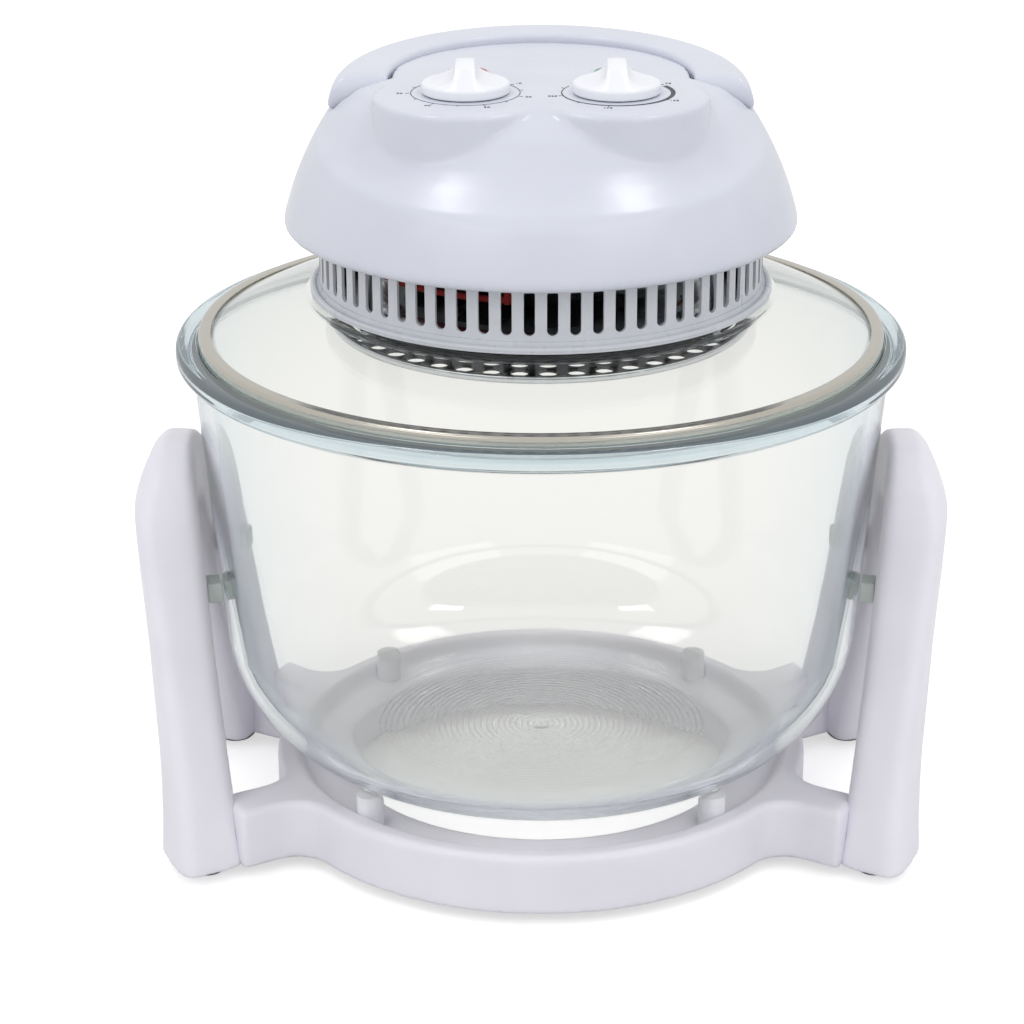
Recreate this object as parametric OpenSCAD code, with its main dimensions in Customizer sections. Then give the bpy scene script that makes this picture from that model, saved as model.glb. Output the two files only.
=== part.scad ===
// Table-top halogen oven: a glass bowl in a moulded stand, under a lift-off
// glass lid that carries the heater, the fan and the controls.
// Origin: on the table, under the centre of the bowl. Z is up and the
// control panel faces -Y.

/* [Stand] */
// Height of the rubber feet under the side frames
foot_h = 4; // [3:0.5:8]
// Diameter of a rubber foot
foot_d = 16; // [10:1:20]
// Outer diameter of the base ring
ring_d = 213; // [208:1:222]
// Diameter of the hole in the base ring
ring_hole_d = 156; // [140:1:160]
// Height of the base ring and its legs
base_h = 24.6; // [20:0.2:30]
// Height of the inner ledge of the base ring
ledge_h = 18.5; // [12:0.5:19]
// Wall thickness of the base moulding
base_wall = 3; // [2:0.25:4]
// Width of a leg of the base
leg_w = 19.5; // [16:0.5:22]
// Fillet between a leg and the base ring
leg_fillet = 14; // [8:1:16]
// Distance of a side frame's foot from its middle, measured round the bowl
frame_spread = 62; // [54:1:66]
// Height of the middle of a side frame's crossbar
frame_top = 139.5; // [125:0.5:142]
// Width of the band that a side frame is bent from
frame_band = 30; // [24:0.5:32]
// Thickness of the band at the foot
frame_foot_t = 23; // [18:0.5:26]
// Thickness of the band at the crossbar
frame_grip_t = 24.5; // [20:0.5:28]
// How much thicker the band gets where it nears the table
frame_flare = 3.5; // [0:0.5:5]
// Radius of the rounded edges of the band
frame_edge_r = 6; // [4:0.5:9]
// Diameter of the shank of a stand screw
stand_screw_d = 4; // [3:0.5:5]

/* [Bowl] */
// Diameter over the rim of the bowl
bowl_rim_d = 280; // [278:1:284]
// Height of the bowl
bowl_h = 169; // [160:1:180]
// Thickness of the glass of the bowl
bowl_wall = 4.5; // [3.5:0.25:5.5]
// Lean of the bowl's wall from the vertical
bowl_draft = 4.9; // [3:0.1:6]
// Radius of the bowl's lower corner
bowl_corner_r = 55; // [45:1:62]
// Radius of the bead round the rim
bead_r = 3.5; // [3:0.1:4]
// Gap under the bowl, above the ledge of the base
bowl_clear = 9.5; // [6:0.5:14]
// Number of moulded rings under the bowl
bowl_rings = 18; // [6:1:20]

/* [Pads] */
// Distance of the bowl's rubber pads from the axis
pad_r = 93; // [88:0.5:96]
// Diameter of a rubber pad
pad_d = 10.5; // [8:0.5:12]
// Height of the side pads above the table
side_pad_z = 109; // [95:1:115]
// Height of a side pad
side_pad_h = 10; // [6:0.5:12]

/* [Lid] */
// Diameter over the steel band of the lid
lid_d = 262.4; // [258:0.2:263]
// Height of the steel band
band_h = 5.4; // [5:0.1:7]
// Width of the steel band, seen from above
band_w = 4.5; // [3.5:0.1:6]
// Thickness of the lid glass
lid_glass_t = 3.5; // [3:0.1:3.6]
// Rise of the lid from its edge to the collar
lid_rise = 15.5; // [12:0.5:18]
// Diameter of the hole in the lid glass
lid_hole_d = 161; // [158:1:164]

/* [Collar] */
// Diameter of the vent collar
collar_d = 168.8; // [166:0.2:172]
// Diameter over the rolled lip of the collar
collar_lip_d = 176; // [174:0.5:180]
// Height of the vent collar
collar_h = 31; // [29:0.5:36]
// Thickness of the sheet steel
sheet_t = 1.2; // [0.8:0.1:1.5]
// Number of vent slots
slot_count = 64; // [40:1:72]
// Width of a vent slot
slot_w = 4; // [3:0.25:5]
// Height of a vent slot
slot_h = 17; // [12:0.5:18]

/* [Head] */
// Largest diameter of the head
head_d = 194.8; // [192:0.2:200]
// Height of the head, from its lower edge to the panel
head_h = 56; // [53:0.5:62]
// Curve of the head's flank
flank_r = 127; // [110:1:160]
// Curve of the head's shoulder
shoulder_r = 30; // [26:0.5:34]
// Wall thickness of the head moulding
head_wall = 2.5; // [2:0.25:3]
// Radius of the two round lobes that carry the knobs
lobe_r = 33.5; // [30:0.5:36]
// Distance of a lobe's centre from the middle
lobe_x = 28; // [26:0.5:30]
// Distance of the lobes in front of the axis
lobe_y = 32; // [30:0.5:35]
// Distance behind the axis of the middle of the head's front slope
slope_y = 10; // [6:0.5:12]

/* [Carrying handle] */
// Outer radius of the handle's bow
handle_r = 80; // [78:0.5:82]
// Width of the bow
handle_w = 23; // [18:0.5:24]
// Thickness of the bow
handle_t = 13.5; // [12:0.5:15]
// Tilt of the bow when it lies down
handle_tilt = 2.5; // [0:0.5:4]
// Diameter of the handle's pivot pins
handle_pin_d = 5; // [4:0.5:6]
// Distance of the pivot behind the axis
pivot_y = 3; // [0:0.5:6]

/* [Controls] */
// Diameter of a knob
knob_d = 32.4; // [28:0.2:34]
// Height of a knob's skirt
knob_skirt_h = 4; // [3:0.25:5]
// Height of a knob with its grip
knob_h = 13.6; // [11:0.2:16]
// Distance of a knob from the middle
knob_x = 27.5; // [26:0.5:29]
// Distance of the knobs in front of the axis
knob_y = 29; // [27:0.5:31]
// Diameter of a pilot lens
lens_d = 15; // [12:0.5:16]
// Distance of the pilot lenses behind the axis
lens_y = 2.5; // [1:0.5:5]
// Diameter of the knobs' spindles
spindle_d = 6; // [5:0.5:7]

/* [Heater and fan] */
// Radius of the circle of the halogen tube
lamp_ring_r = 52; // [48:0.5:54]
// Diameter of the halogen tube
lamp_d = 9; // [8:0.5:10]
// Diameter of the motor shaft
shaft_d = 5; // [4:0.5:6]
// Diameter of the cooling fan
cool_fan_d = 118; // [90:1:122]
// Number of blades of the cooling fan
cool_blades = 9; // [5:1:12]
// Diameter of the convection fan
hot_fan_d = 72; // [50:1:76]
// Number of blades of the convection fan
hot_blades = 6; // [4:1:8]
// Diameter of a hole in the guard plate
guard_hole_d = 7; // [4:0.5:8]
// Distance between the circles of holes in the guard plate
guard_pitch = 9.6; // [9:0.2:12]

/* [Hidden] */

// Smoothness of the round pieces
$fn = 96;
// Gap between pieces that move past each other
gap = 0.3;
// Radial clearance of a running fit
run_fit = 0.05;
// Overlap that keeps a cut clean
eps = 0.01;

// Depth of a pad's socket
pad_socket = 1;

// Levels of the stand
ledge_z = foot_h + ledge_h;

// Levels and sizes of the bowl
bowl_z = ledge_z + bowl_clear;
rim_z = bowl_z + bowl_h;
rim_r = bowl_rim_d / 2;
wall_top_r = rim_r - bead_r - 2.5;
wall_top_h = bowl_h - 2 * bead_r;
rebate_d = 2.4;
rebate_r = lid_d / 2 + 0.8;

// Levels and sizes of the lid
lid_z = rim_z - rebate_d + gap;
band_t = 0.8;
glass_edge_z = lid_z + band_h - band_t;
glass_top_z = glass_edge_z + lid_rise;
gasket_t = 1;
collar_z = glass_top_z + gasket_t;
clamp_z = glass_top_z - lid_glass_t - gasket_t - sheet_t;

// Levels of the heater
guard_t = 1;
guard_drop = 1.6;
guard_z = clamp_z - guard_drop - guard_t;
reflector_z = clamp_z + sheet_t;
lamp_z = guard_z + guard_t + 2 + lamp_d / 2;
reflector_rise = 11.5;
reflector_top = reflector_z + reflector_rise;
lamp_gap_angle = 9;
lamp_glass = 1.5;
rod_r = 73.5;
rod_d = 4;
rod_angles = [90, 210, 330];

// Levels of the head
collar_r = collar_d / 2;
slot_z = collar_z + 5.7;
plate_t = 1.5;
plate_z = collar_z + collar_h - sheet_t - plate_t;
head_z = collar_z + collar_h - 6.2;
panel_z = head_z + head_h;
head_r = head_d / 2;
flank_low = head_z + 2;
flank_c = head_r - sqrt(pow(flank_r, 2) - pow(flank_low - flank_base_z(), 2));
shoulder_z = panel_z - 13.6;
boss_r = 76;
boss_d = 9;
boss_angles = [62, 118, 228, 312];

// Levels of the handle
seat_z = panel_z - 13;
pivot_z = seat_z + handle_t / 2;
handle_in_r = handle_r - handle_w;
arm_end_r = handle_t / 2 + 1;
turret_gap = 1.1;
turret_r = handle_in_r - turret_gap;

// Levels of the controls
knob_z = panel_z + gap;
unit_top = panel_z - head_wall;
plunger_angle = 40;
plunger_r = handle_in_r + handle_w / 2;
plunger_d = 4;
plunger_rise = (plunger_r * sin(plunger_angle) - plunger_d / 2 - pivot_y) * sin(handle_tilt) - gap;

// Points of an arc of radius r round (x, y), from angle a to angle b
function arc(x, y, r, a, b, n = 12) =
    [for (i = [0:n]) let (t = a + (b - a) * i / n) [x + r * cos(t), y + r * sin(t)]];

// Height of the centre of the arc that draws the head's flank
function flank_base_z() = head_z - 27.5;

// Radius of the head's flank at height z, moved inwards by a wall
function flank_at(z, wall = 0) =
    flank_c + sqrt(pow(flank_r - wall, 2) - pow(z - flank_base_z(), 2));

// ---------------------------------------------------------------- stand

// Angle at which a leg's outer side runs out from the axis, and the leg's reach
leg_angle = 31.6;
leg_end_r = 131.6;
base_edge_r = 2;

// Plan of the base from +X round to +Y, drawn in by some inset
function base_quarter(inset) =
    let (
        rim = ring_d / 2,
        f = leg_fillet,
        inner_x = sqrt(pow(rim + f, 2) - pow(leg_w + f, 2)),
        outer_x = sqrt(pow(rim + f, 2) - pow(f, 2)),
        inner_a = atan2(-leg_w - f, inner_x),
        outer_a = atan2(f, outer_x),
        end_a = asin((leg_w - inset) / (leg_end_r - inset))
    )
    concat(
        arc(0, 0, rim - inset, 0, leg_angle + inner_a, 3),
        turned(concat(
            arc(inner_x, -leg_w - f, f + inset, 180 + inner_a, 90, 8),
            arc(0, 0, leg_end_r - inset, -end_a, -asin(inset / (leg_end_r - inset)), 3),
            arc(outer_x, f, f + inset, 270, 180 + outer_a, 8)
        ), leg_angle),
        arc(0, 0, rim - inset, leg_angle + outer_a, 90, 9)
    );

// A list of points turned about the origin
function turned(points, a) =
    [for (p = points) [p[0] * cos(a) - p[1] * sin(a), p[0] * sin(a) + p[1] * cos(a)]];

// The list in reverse order
function reverse(list) = [for (i = [len(list) - 1:-1:0]) list[i]];

// The whole plan of the base: four mirrored quarters, each point once
function base_plan(inset) =
    let (
        quarter = distinct(base_quarter(inset)),
        half = concat(quarter, [for (p = slice(reverse(quarter), 1)) [-p[0], p[1]]]),
        rest = [for (p = slice(reverse(half), 1)) [p[0], -p[1]]]
    )
    concat(half, [for (i = [0:len(rest) - 2]) rest[i]]);
function slice(list, from) = [for (i = [from:len(list) - 1]) list[i]];
function distinct(list) =
    [for (i = [0:len(list) - 1]) if (i == 0 || norm(list[i] - list[max(0, i - 1)]) > 0.001) list[i]];

// Places its children at the four legs, mirrored left to right and front to back
module at_legs() {
    for (mx = [0, 1], my = [0, 1])
        mirror([mx, 0, 0]) mirror([0, my, 0]) rotate(-leg_angle) children();
}

module base_ring() {
    color("#e6e6ee")
    translate([0, 0, foot_h])
    difference() {
        // The top edge is rounded in thin layers
        for (t = [0:30:90])
            linear_extrude(base_h - base_edge_r * (1 - sin(t)))
                polygon(base_plan(base_edge_r * (1 - cos(t))));
        rotate_extrude($fn = 128) base_dip_section();
        // The moulding is open below, with ribs across the ring
        difference() {
            translate([0, 0, -eps]) linear_extrude(ledge_h - base_wall + eps) difference() {
                polygon(base_plan(base_wall));
                circle(r = ring_hole_d / 2 + base_wall, $fn = 128);
            }
            for (a = [0:30:330])
                rotate(a) translate([ring_hole_d / 2, -1, -1]) cube([(ring_d - ring_hole_d) / 2, 2, base_h]);
        }
        translate([0, 0, -eps]) linear_extrude(base_h - base_wall + eps) difference() {
            polygon(base_plan(base_wall));
            circle(r = ring_d / 2, $fn = 128);
        }
        translate([0, 0, -foot_h]) {
            at_legs() stand_screw_axis() cylinder(d = stand_screw_d, h = 60, center = true, $fn = 32);
            at_bowl_pads() cylinder(d = pad_d + 2 * run_fit, h = base_h, $fn = 40);
        }
    }
}

// Section of the room cut for the bowl: the hole and the dip down to the ledge
module base_dip_section() {
    rim = ring_d / 2 - 9;
    ledge_out = ring_d / 2 - 14;
    soft = 1.5;
    polygon(concat(
        [[0, -1], [ring_hole_d / 2, -1]],
        arc(ring_hole_d / 2 + soft, ledge_h - soft, soft, 180, 90, 4),
        arc(ledge_out, ledge_h + 4, 4, -90, -40, 6),
        [[rim, base_h - 1.2], [rim + 3, base_h + 1], [0, base_h + 1]]
    ));
}

// Axis of the screw that holds a side frame to a leg, in the leg's own frame
module stand_screw_axis() {
    translate([leg_end_r, leg_w / 2, foot_h + base_h / 2]) rotate([0, 90, 0]) children();
}

// Radius of the band's bend at the crossbar and the lean of the posts
frame_bend_r = 25.3;
frame_lean = 17.1;

// Centre line of the band, drawn flat: [along, height, normal angle], s from 0 to 1
function frame_line(s) =
    let (
        turn = 90 - frame_lean,
        bend_z = frame_top - frame_bend_r,
        join_t = frame_bend_r * cos(frame_lean),
        join_z = bend_z + frame_bend_r * sin(frame_lean),
        post = 0.6
    )
    s < post
        ? [frame_spread + (join_t - frame_spread) * s / post,
           join_z * s / post, frame_lean * s / post]
        : [frame_bend_r * cos(frame_lean + turn * (s - post) / (1 - post)),
           bend_z + frame_bend_r * sin(frame_lean + turn * (s - post) / (1 - post)),
           frame_lean + turn * (s - post) / (1 - post)];

// Inner radius of the side frame at the foot and at height z, where it follows the bowl
frame_foot_r = 132;
function frame_in_r(z) = frame_foot_r + 2.5 * pow(max(0, z) / frame_top, 2);

// Thickness of the band at height z: it swells towards the crossbar and towards the table
swell_from = 75;
swell_to = frame_top - 15;
flare_to = 45;
function frame_t(z) =
    let (
        s = min(1, max(0, (z - swell_from) / (swell_to - swell_from))),
        low = max(0, 1 - max(0, z) / flare_to)
    )
    frame_foot_t + (frame_grip_t - frame_foot_t) * s * s * (3 - 2 * s) + frame_flare * low * low;

// Rounded section of the band: [across from -1 to 1, through from 0 to 1]
function band_section(w, t) =
    let (r = frame_edge_r, side = [for (i = [1:2]) (w / 2 - r) * (1 - 2 * i / 3)])
    concat(
        arc(w / 2 - r, t - r, r, 0, 90, 4), [for (x = side) [x, t]],
        arc(-w / 2 + r, t - r, r, 90, 180, 4),
        arc(-w / 2 + r, r, r, 180, 270, 4), [for (x = side) [-x, 0]],
        arc(w / 2 - r, r, r, 270, 360, 4)
    );

// One ring of points: the section wrapped round the bowl's axis
function frame_ring(s, side) =
    let (
        line = frame_line(s),
        mid_r = frame_foot_r + frame_foot_t / 2
    )
    [for (p = band_section(frame_band, frame_t(line[1])))
        let (
            along = side * (line[0] + p[0] * cos(line[2])),
            z = line[1] + p[0] * sin(line[2]),
            r = frame_in_r(line[1]) + p[1],
            a = along / mid_r * 180 / PI
        )
        [r * cos(a), r * sin(a), foot_h + max(0, z)]];

// A side frame: the band rises as a post, bends over and comes down again
module side_frame() {
    steps = 15;
    front = [for (i = [0:steps]) frame_ring(i / steps, -1)];
    back = [for (i = [steps - 1:-1:0]) frame_ring(i / steps, 1)];
    difference() {
        loft(concat(front, back));
        for (my = [0, 1])
            mirror([0, my, 0]) rotate(-leg_angle) stand_screw_axis()
                cylinder(d = stand_screw_d, h = 24, center = true, $fn = 32);
    }
}

// Solid skin over a list of closed rings
module loft(rings) {
    n = len(rings[0]);
    m = len(rings);
    points = [for (ring = rings) each ring];
    sides = [for (i = [0:m - 2], j = [0:n - 1])
        each let (a = i * n + j, b = i * n + (j + 1) % n) [[a, a + n, b], [b, a + n, b + n]]];
    caps = [[for (j = [0:n - 1]) j], [for (j = [n - 1:-1:0]) (m - 1) * n + j]];
    polyhedron(points = points, faces = concat(sides, caps), convexity = 6);
}

module side_frame_right() {
    color("#e2e1ec") side_frame();
}

module side_frame_left() {
    color("#e2e1ec") mirror([1, 0, 0]) side_frame();
}

module stand_screws() {
    color("#b9bcc2")
    at_legs() stand_screw_axis() {
        translate([0, 0, -10]) cylinder(d = stand_screw_d, h = 21, $fn = 32);
        translate([0, 0, -base_wall - 3.8]) cylinder(d = 2 * stand_screw_d, h = 2.6, $fn = 32);
    }
}

// Place of a foot: under the middle of a side frame's post
foot_r = frame_foot_r + frame_foot_t / 2;
foot_angle = frame_spread / foot_r * 180 / PI;

module stand_feet() {
    color("#5b5d60")
    for (mx = [0, 1], a = [-foot_angle, foot_angle])
        mirror([mx, 0, 0]) rotate(a) translate([foot_r, 0, 0])
            rotate_extrude($fn = 48) polygon([
                [0, 0], [foot_d / 2 - 1.2, 0], [foot_d / 2, 1.2], [foot_d / 2, foot_h], [0, foot_h]
            ]);
}

// ----------------------------------------------------------------- bowl

wall_slope = tan(bowl_draft);
corner_x = wall_top_r - wall_slope * (wall_top_h - bowl_corner_r) - bowl_corner_r / cos(bowl_draft);

// Inner radius of the bowl's straight wall at height z above its bottom
function bowl_in_r(z) = wall_top_r - wall_slope * (wall_top_h - z) - bowl_wall / cos(bowl_draft);

// Section of the bowl's glass
module bowl_section() {
    ring_pitch = (corner_x - 8) / bowl_rings;
    difference() {
        union() {
            polygon(concat(
                [[0, bowl_wall], [0, 0], [8, 0]],
                [for (i = [0:bowl_rings - 1]) each [
                    [8 + (i + 0.45) * ring_pitch, 0.5], [8 + (i + 0.9) * ring_pitch, 0]]],
                arc(corner_x, bowl_corner_r, bowl_corner_r, -90, -bowl_draft, 14),
                [[wall_top_r, wall_top_h], [wall_top_r, bowl_h],
                 [bowl_in_r(bowl_h - rebate_d), bowl_h],
                 [bowl_in_r(bowl_h - rebate_d), bowl_h - rebate_d]],
                arc(corner_x, bowl_corner_r, bowl_corner_r - bowl_wall, -bowl_draft, -90, 14)
            ));
            translate([rim_r - bead_r, bowl_h - bead_r]) circle(r = bead_r, $fn = 32);
            translate([wall_top_r - 1, bowl_h - 2 * bead_r])
                square([rim_r - bead_r - wall_top_r + 1, 2 * bead_r]);
        }
        // The lid's band sits in this step
        translate([0, bowl_h - rebate_d]) square([rebate_r, rebate_d + 1]);
    }
}

module bowl() {
    color("#cfe4ea", 0.4)
    translate([0, 0, bowl_z]) rotate_extrude($fn = 128) bowl_section();
}

// Places its children on the four sockets in the ledge
module at_bowl_pads() {
    for (a = [45:90:315]) rotate(a) translate([pad_r, 0, ledge_z - pad_socket]) children();
}

// Four rubber pads on the ledge, cut to the curve of the bowl that rests on them
module bowl_pads() {
    color("#6d7271")
    difference() {
        at_bowl_pads() cylinder(d = pad_d, h = bowl_clear + pad_d + 2, $fn = 40);
        translate([0, 0, bowl_z - gap]) rotate_extrude($fn = 128) bowl_envelope();
    }
}

// Section of everything inside the bowl's outer surface, and above it
module bowl_envelope() {
    polygon(concat(
        [[0, 60], [0, 0]],
        arc(corner_x, bowl_corner_r, bowl_corner_r, -90, -bowl_draft, 14),
        [[wall_top_r, wall_top_h], [0, wall_top_h]]
    ));
}

// Four pads between the side frames' posts and the bowl
module side_pads() {
    pad_line = frame_spread - tan(frame_lean) * (side_pad_z - foot_h);
    pad_angle = pad_line / foot_r * 180 / PI;
    back_r = frame_in_r(side_pad_z - side_pad_h / 2 - foot_h) - 0.1;
    color("#6d7271")
    for (mx = [0, 1], a = [-pad_angle, pad_angle])
        mirror([mx, 0, 0]) rotate(a)
            translate([0, 0, side_pad_z - side_pad_h / 2])
                intersection() {
                    difference() {
                        cylinder(r = back_r, h = side_pad_h);
                        cylinder(r = bowl_side_r(side_pad_z) + gap, h = 3 * side_pad_h, center = true);
                    }
                    translate([back_r - 12, -5, 0]) cube([14, 10, side_pad_h]);
                }
}

// Largest outer radius of the bowl over the height of a side pad
function bowl_side_r(z) =
    wall_top_r - wall_slope * (wall_top_h - (z + side_pad_h / 2 - bowl_z));

// ------------------------------------------------------------------ lid

lid_r = lid_d / 2;

// Height of the lid's dome above its edge, at radius r
dome_span = lid_r - band_w;
function dome_z(r, thick = 0) =
    let (c = dome_centre())
    sqrt(pow(dome_big_r() - thick, 2) - pow(r, 2)) - c;
function dome_centre() =
    (pow(dome_span, 2) - pow(collar_lip_d / 2, 2) - pow(lid_rise, 2)) / (2 * lid_rise);
function dome_big_r() = sqrt(pow(dome_span, 2) + pow(dome_centre(), 2));

module lid_glass() {
    lip_r = collar_lip_d / 2;
    n = 14;
    color("#dfeaec", 0.35)
    translate([0, 0, glass_edge_z]) rotate_extrude($fn = 128) polygon(concat(
        [[lid_hole_d / 2, lid_rise], [lip_r, lid_rise]],
        [for (i = [1:n]) let (r = lip_r + (dome_span - lip_r) * i / n) [r, dome_z(r)]],
        [[lid_r - band_t - 0.2, 0], [lid_r - band_t - 0.2, -lid_glass_t]],
        [for (i = [n:-1:1]) let (r = lip_r + (dome_span - lip_r) * i / n)
            [r, dome_z(r) - lid_glass_t]],
        [[lip_r, lid_rise - lid_glass_t], [lid_hole_d / 2, lid_rise - lid_glass_t]]
    ));
}

module lid_band() {
    low = glass_edge_z - lid_z - lid_glass_t;
    roll = 1;
    color("#b9b6ad")
    translate([0, 0, lid_z]) rotate_extrude($fn = 128)
        difference() {
            polygon(concat(
                [[lid_r - band_w, 0]],
                arc(lid_r - roll, roll, roll, -90, 0, 5),
                arc(lid_r - roll, band_h - roll, roll, 0, 90, 5),
                arc(lid_r - band_w + roll, band_h - roll, roll, 90, 180, 5)
            ));
            translate([lid_r - band_w - 1, low])
                square([band_w + 1 - band_t - 0.2, lid_glass_t]);
            translate([lid_r - band_w - 1, low + lid_glass_t - 1]) square([1.9, band_h]);
        }
}

module lid_gasket() {
    in_r = lid_hole_d / 2;
    color("#c9c8c2")
    translate([0, 0, glass_top_z]) rotate_extrude($fn = 128)
        difference() {
            translate([in_r - gasket_t, -lid_glass_t - gasket_t])
                square([collar_lip_d / 2 - 1 - in_r + gasket_t, lid_glass_t + 2 * gasket_t]);
            translate([in_r, -lid_glass_t]) square([20, lid_glass_t]);
        }
}

module clamp_ring() {
    color("#c4c6c8")
    difference() {
        translate([0, 0, clamp_z]) rotate_extrude($fn = 128)
            translate([rod_r - 5, 0]) square([collar_lip_d / 2 - 1.5 - rod_r + 5, sheet_t]);
        at_rods() cylinder(d = rod_d, h = 40, center = true, $fn = 24);
    }
}

// Places its children at the three tie rods, at the height of the clamp ring
module at_rods() {
    for (a = rod_angles) rotate(a) translate([rod_r, 0, clamp_z]) children();
}

module tie_rods() {
    color("#9b9ea3")
    at_rods() {
        translate([0, 0, -1.4]) cylinder(d = rod_d, h = plate_z + plate_t - clamp_z + 4, $fn = 24);
        translate([0, 0, -1.4]) cylinder(d = 6, h = 1.4, $fn = 6);
        translate([0, 0, plate_z + plate_t - clamp_z]) cylinder(d = 8, h = 3, $fn = 6);
    }
}

module vent_collar() {
    lip_r = collar_lip_d / 2;
    curl = (lip_r - collar_r) / 2;
    color("#c9ccd2")
    difference() {
        translate([0, 0, collar_z]) rotate_extrude($fn = 128) {
            // Wall and the flange turned in at its top
            translate([collar_r - sheet_t, 2 * curl]) square([sheet_t, collar_h - 2 * curl]);
            translate([rod_r + 5, collar_h - sheet_t]) square([collar_r - rod_r - 5, sheet_t]);
            // Foot flared out to the rolled lip
            difference() {
                translate([collar_r - sheet_t, 0]) square([lip_r - collar_r + sheet_t, 2 * curl + eps]);
                translate([lip_r, 2 * curl]) circle(r = 2 * curl - sheet_t / 2);
                translate([collar_r - sheet_t - eps, -eps]) square([sheet_t / 2, 2 * curl + 3 * eps]);
            }
            translate([lip_r - sheet_t, sheet_t]) circle(r = sheet_t, $fn = 24);
        }
        for (i = [0:slot_count - 1])
            rotate(360 * (i + 0.5) / slot_count - 90) translate([collar_r, 0, slot_z]) vent_slot();
    }
}

// A slot with round ends, cut square through the collar
module vent_slot() {
    rotate([0, 90, 0]) rotate(90) translate([0, 0, -3]) linear_extrude(6) {
        translate([0, slot_w / 2]) circle(d = slot_w, $fn = 24);
        translate([0, slot_h - slot_w / 2]) circle(d = slot_w, $fn = 24);
        translate([-slot_w / 2, slot_w / 2]) square([slot_w, slot_h - slot_w]);
    }
}

// --------------------------------------------------------------- heater

module reflector() {
    color("#d7d9db")
    difference() {
        translate([0, 0, reflector_z]) rotate_extrude($fn = 128) polygon(concat(
            [[reflector_hole_r, reflector_rise], [reflector_hole_r, reflector_rise - reflector_skin]],
            dish_curve(reflector_skin),
            [[lid_hole_d / 2 - gasket_t, 0], [lid_hole_d / 2 - gasket_t, reflector_skin]],
            reverse(dish_curve(0))
        ));
        at_rods() cylinder(d = rod_d, h = 40, center = true, $fn = 24);
        at_lamp_ends() cylinder(d = lamp_d + 5, h = 60, center = true, $fn = 32);
        bulb_axis() cylinder(d = 5, h = 60, center = true, $fn = 24);
    }
}

// The dish's curve from its flat top out to the flange: its inner or outer skin
reflector_skin = 0.8;
reflector_hole_r = 6;
dish_flat_r = 42;
dish_foot_r = 68;
function dish_curve(skin) = [for (i = [0:12]) dish_point(7.5 * i, skin)];
function dish_point(a, skin) =
    [dish_flat_r - skin / 2 + (dish_foot_r - dish_flat_r - skin / 2) * sin(a),
     (reflector_rise - reflector_skin) * cos(a) + reflector_skin - skin];
// Places its children on the two upright ends of the halogen tube
module at_lamp_ends() {
    for (a = [-lamp_gap_angle, lamp_gap_angle])
        rotate(a + 90) translate([lamp_ring_r, 0, lamp_z]) children();
}

// The tube: nearly a full circle, with both ends turned up through the reflector
module halogen_tube() {
    color("#e9e7df", 0.5)
    difference() {
        tube_run(lamp_d, 0);
        tube_run(lamp_d - 2 * lamp_glass, eps);
    }
}

// A rod of diameter d along the lamp's circle and up its two ends
module tube_run(d, over) {
    translate([0, 0, lamp_z]) rotate(90 + lamp_gap_angle)
        rotate_extrude(angle = 360 - 2 * lamp_gap_angle, $fn = 96)
            translate([lamp_ring_r, 0]) circle(d = d, $fn = 32);
    at_lamp_ends() translate([0, 0, -d / 2 - 0.3]) cylinder(d = d + 0.6, h = d / 2 + 9 + over, $fn = 32);
}

module filament() {
    start = 90 + lamp_gap_angle + 4;
    color("#8f8a84")
    translate([0, 0, lamp_z]) rotate(start)
        rotate_extrude(angle = 360 - 2 * (lamp_gap_angle + 4), $fn = 128)
            translate([lamp_ring_r, 0]) circle(d = 1.6, $fn = 16);
}

// Ceramic end caps of the tube, above the reflector
holder_d = lamp_d + 6;

module lamp_holders() {
    color("#f0ece2")
    at_lamp_ends() difference() {
        translate([0, 0, reflector_top - lamp_z]) cylinder(d = holder_d, h = 7, $fn = 32);
        translate([0, 0, -1]) cylinder(d = lamp_d + 0.8, h = 10, $fn = 32);
    }
}

// Two wire saddles that hang the tube from the reflector
module lamp_clips() {
    wire = 1.2;
    hook_r = lamp_d / 2 + wire / 2;
    color("#a9acb0")
    for (a = [210, 330])
        rotate(a) translate([lamp_ring_r, 0, lamp_z]) rotate([90, 0, 0]) {
            rotate(180) rotate_extrude(angle = 180, $fn = 48)
                translate([hook_r, 0]) circle(d = wire, $fn = 16);
            for (mx = [-1, 1])
                translate([mx * hook_r, 0, 0]) rotate([-90, 0, 0])
                    cylinder(d = wire, h = clip_top(lamp_ring_r + mx * hook_r) - lamp_z, $fn = 16);
        }
}

// Height of the reflector's underside over radius r
function clip_top(r) =
    let (reach = dish_foot_r - dish_flat_r - reflector_skin / 2,
         a = asin((r - dish_flat_r + reflector_skin / 2) / reach))
    reflector_z + dish_point(a, reflector_skin)[1] - gap;

module guard_plate() {
    edge_r = lid_hole_d / 2 - 3.5;
    rows = floor((edge_r - 14) / guard_pitch);
    color("#26282a")
    difference() {
        translate([0, 0, guard_z]) cylinder(r = edge_r, h = guard_t, $fn = 128);
        for (row = [0:rows - 1])
            let (r = edge_r - 6.5 - row * guard_pitch, n = floor(2 * PI * r / (guard_pitch + 0.6)))
            for (i = [0:n - 1])
                rotate(360 * (i + row % 2 / 2) / n) translate([r, 0, guard_z - 1])
                    cylinder(d = guard_hole_d, h = guard_t + 2, $fn = 16);
    }
}

module guard_rim() {
    edge_r = lid_hole_d / 2 - 3.5;
    low = guard_z - 3.5;
    color("#c9cbce")
    rotate_extrude($fn = 128) {
        translate([edge_r, low + 1]) square([1.2, clamp_z - low - 1]);
        translate([edge_r + 1.2, low + 1.2]) circle(r = 1.2, $fn = 24);
        translate([edge_r - 1.5, guard_z - 0.8]) square([1.5, 0.8]);
    }
}

// ------------------------------------------------------- motor and fans

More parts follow.
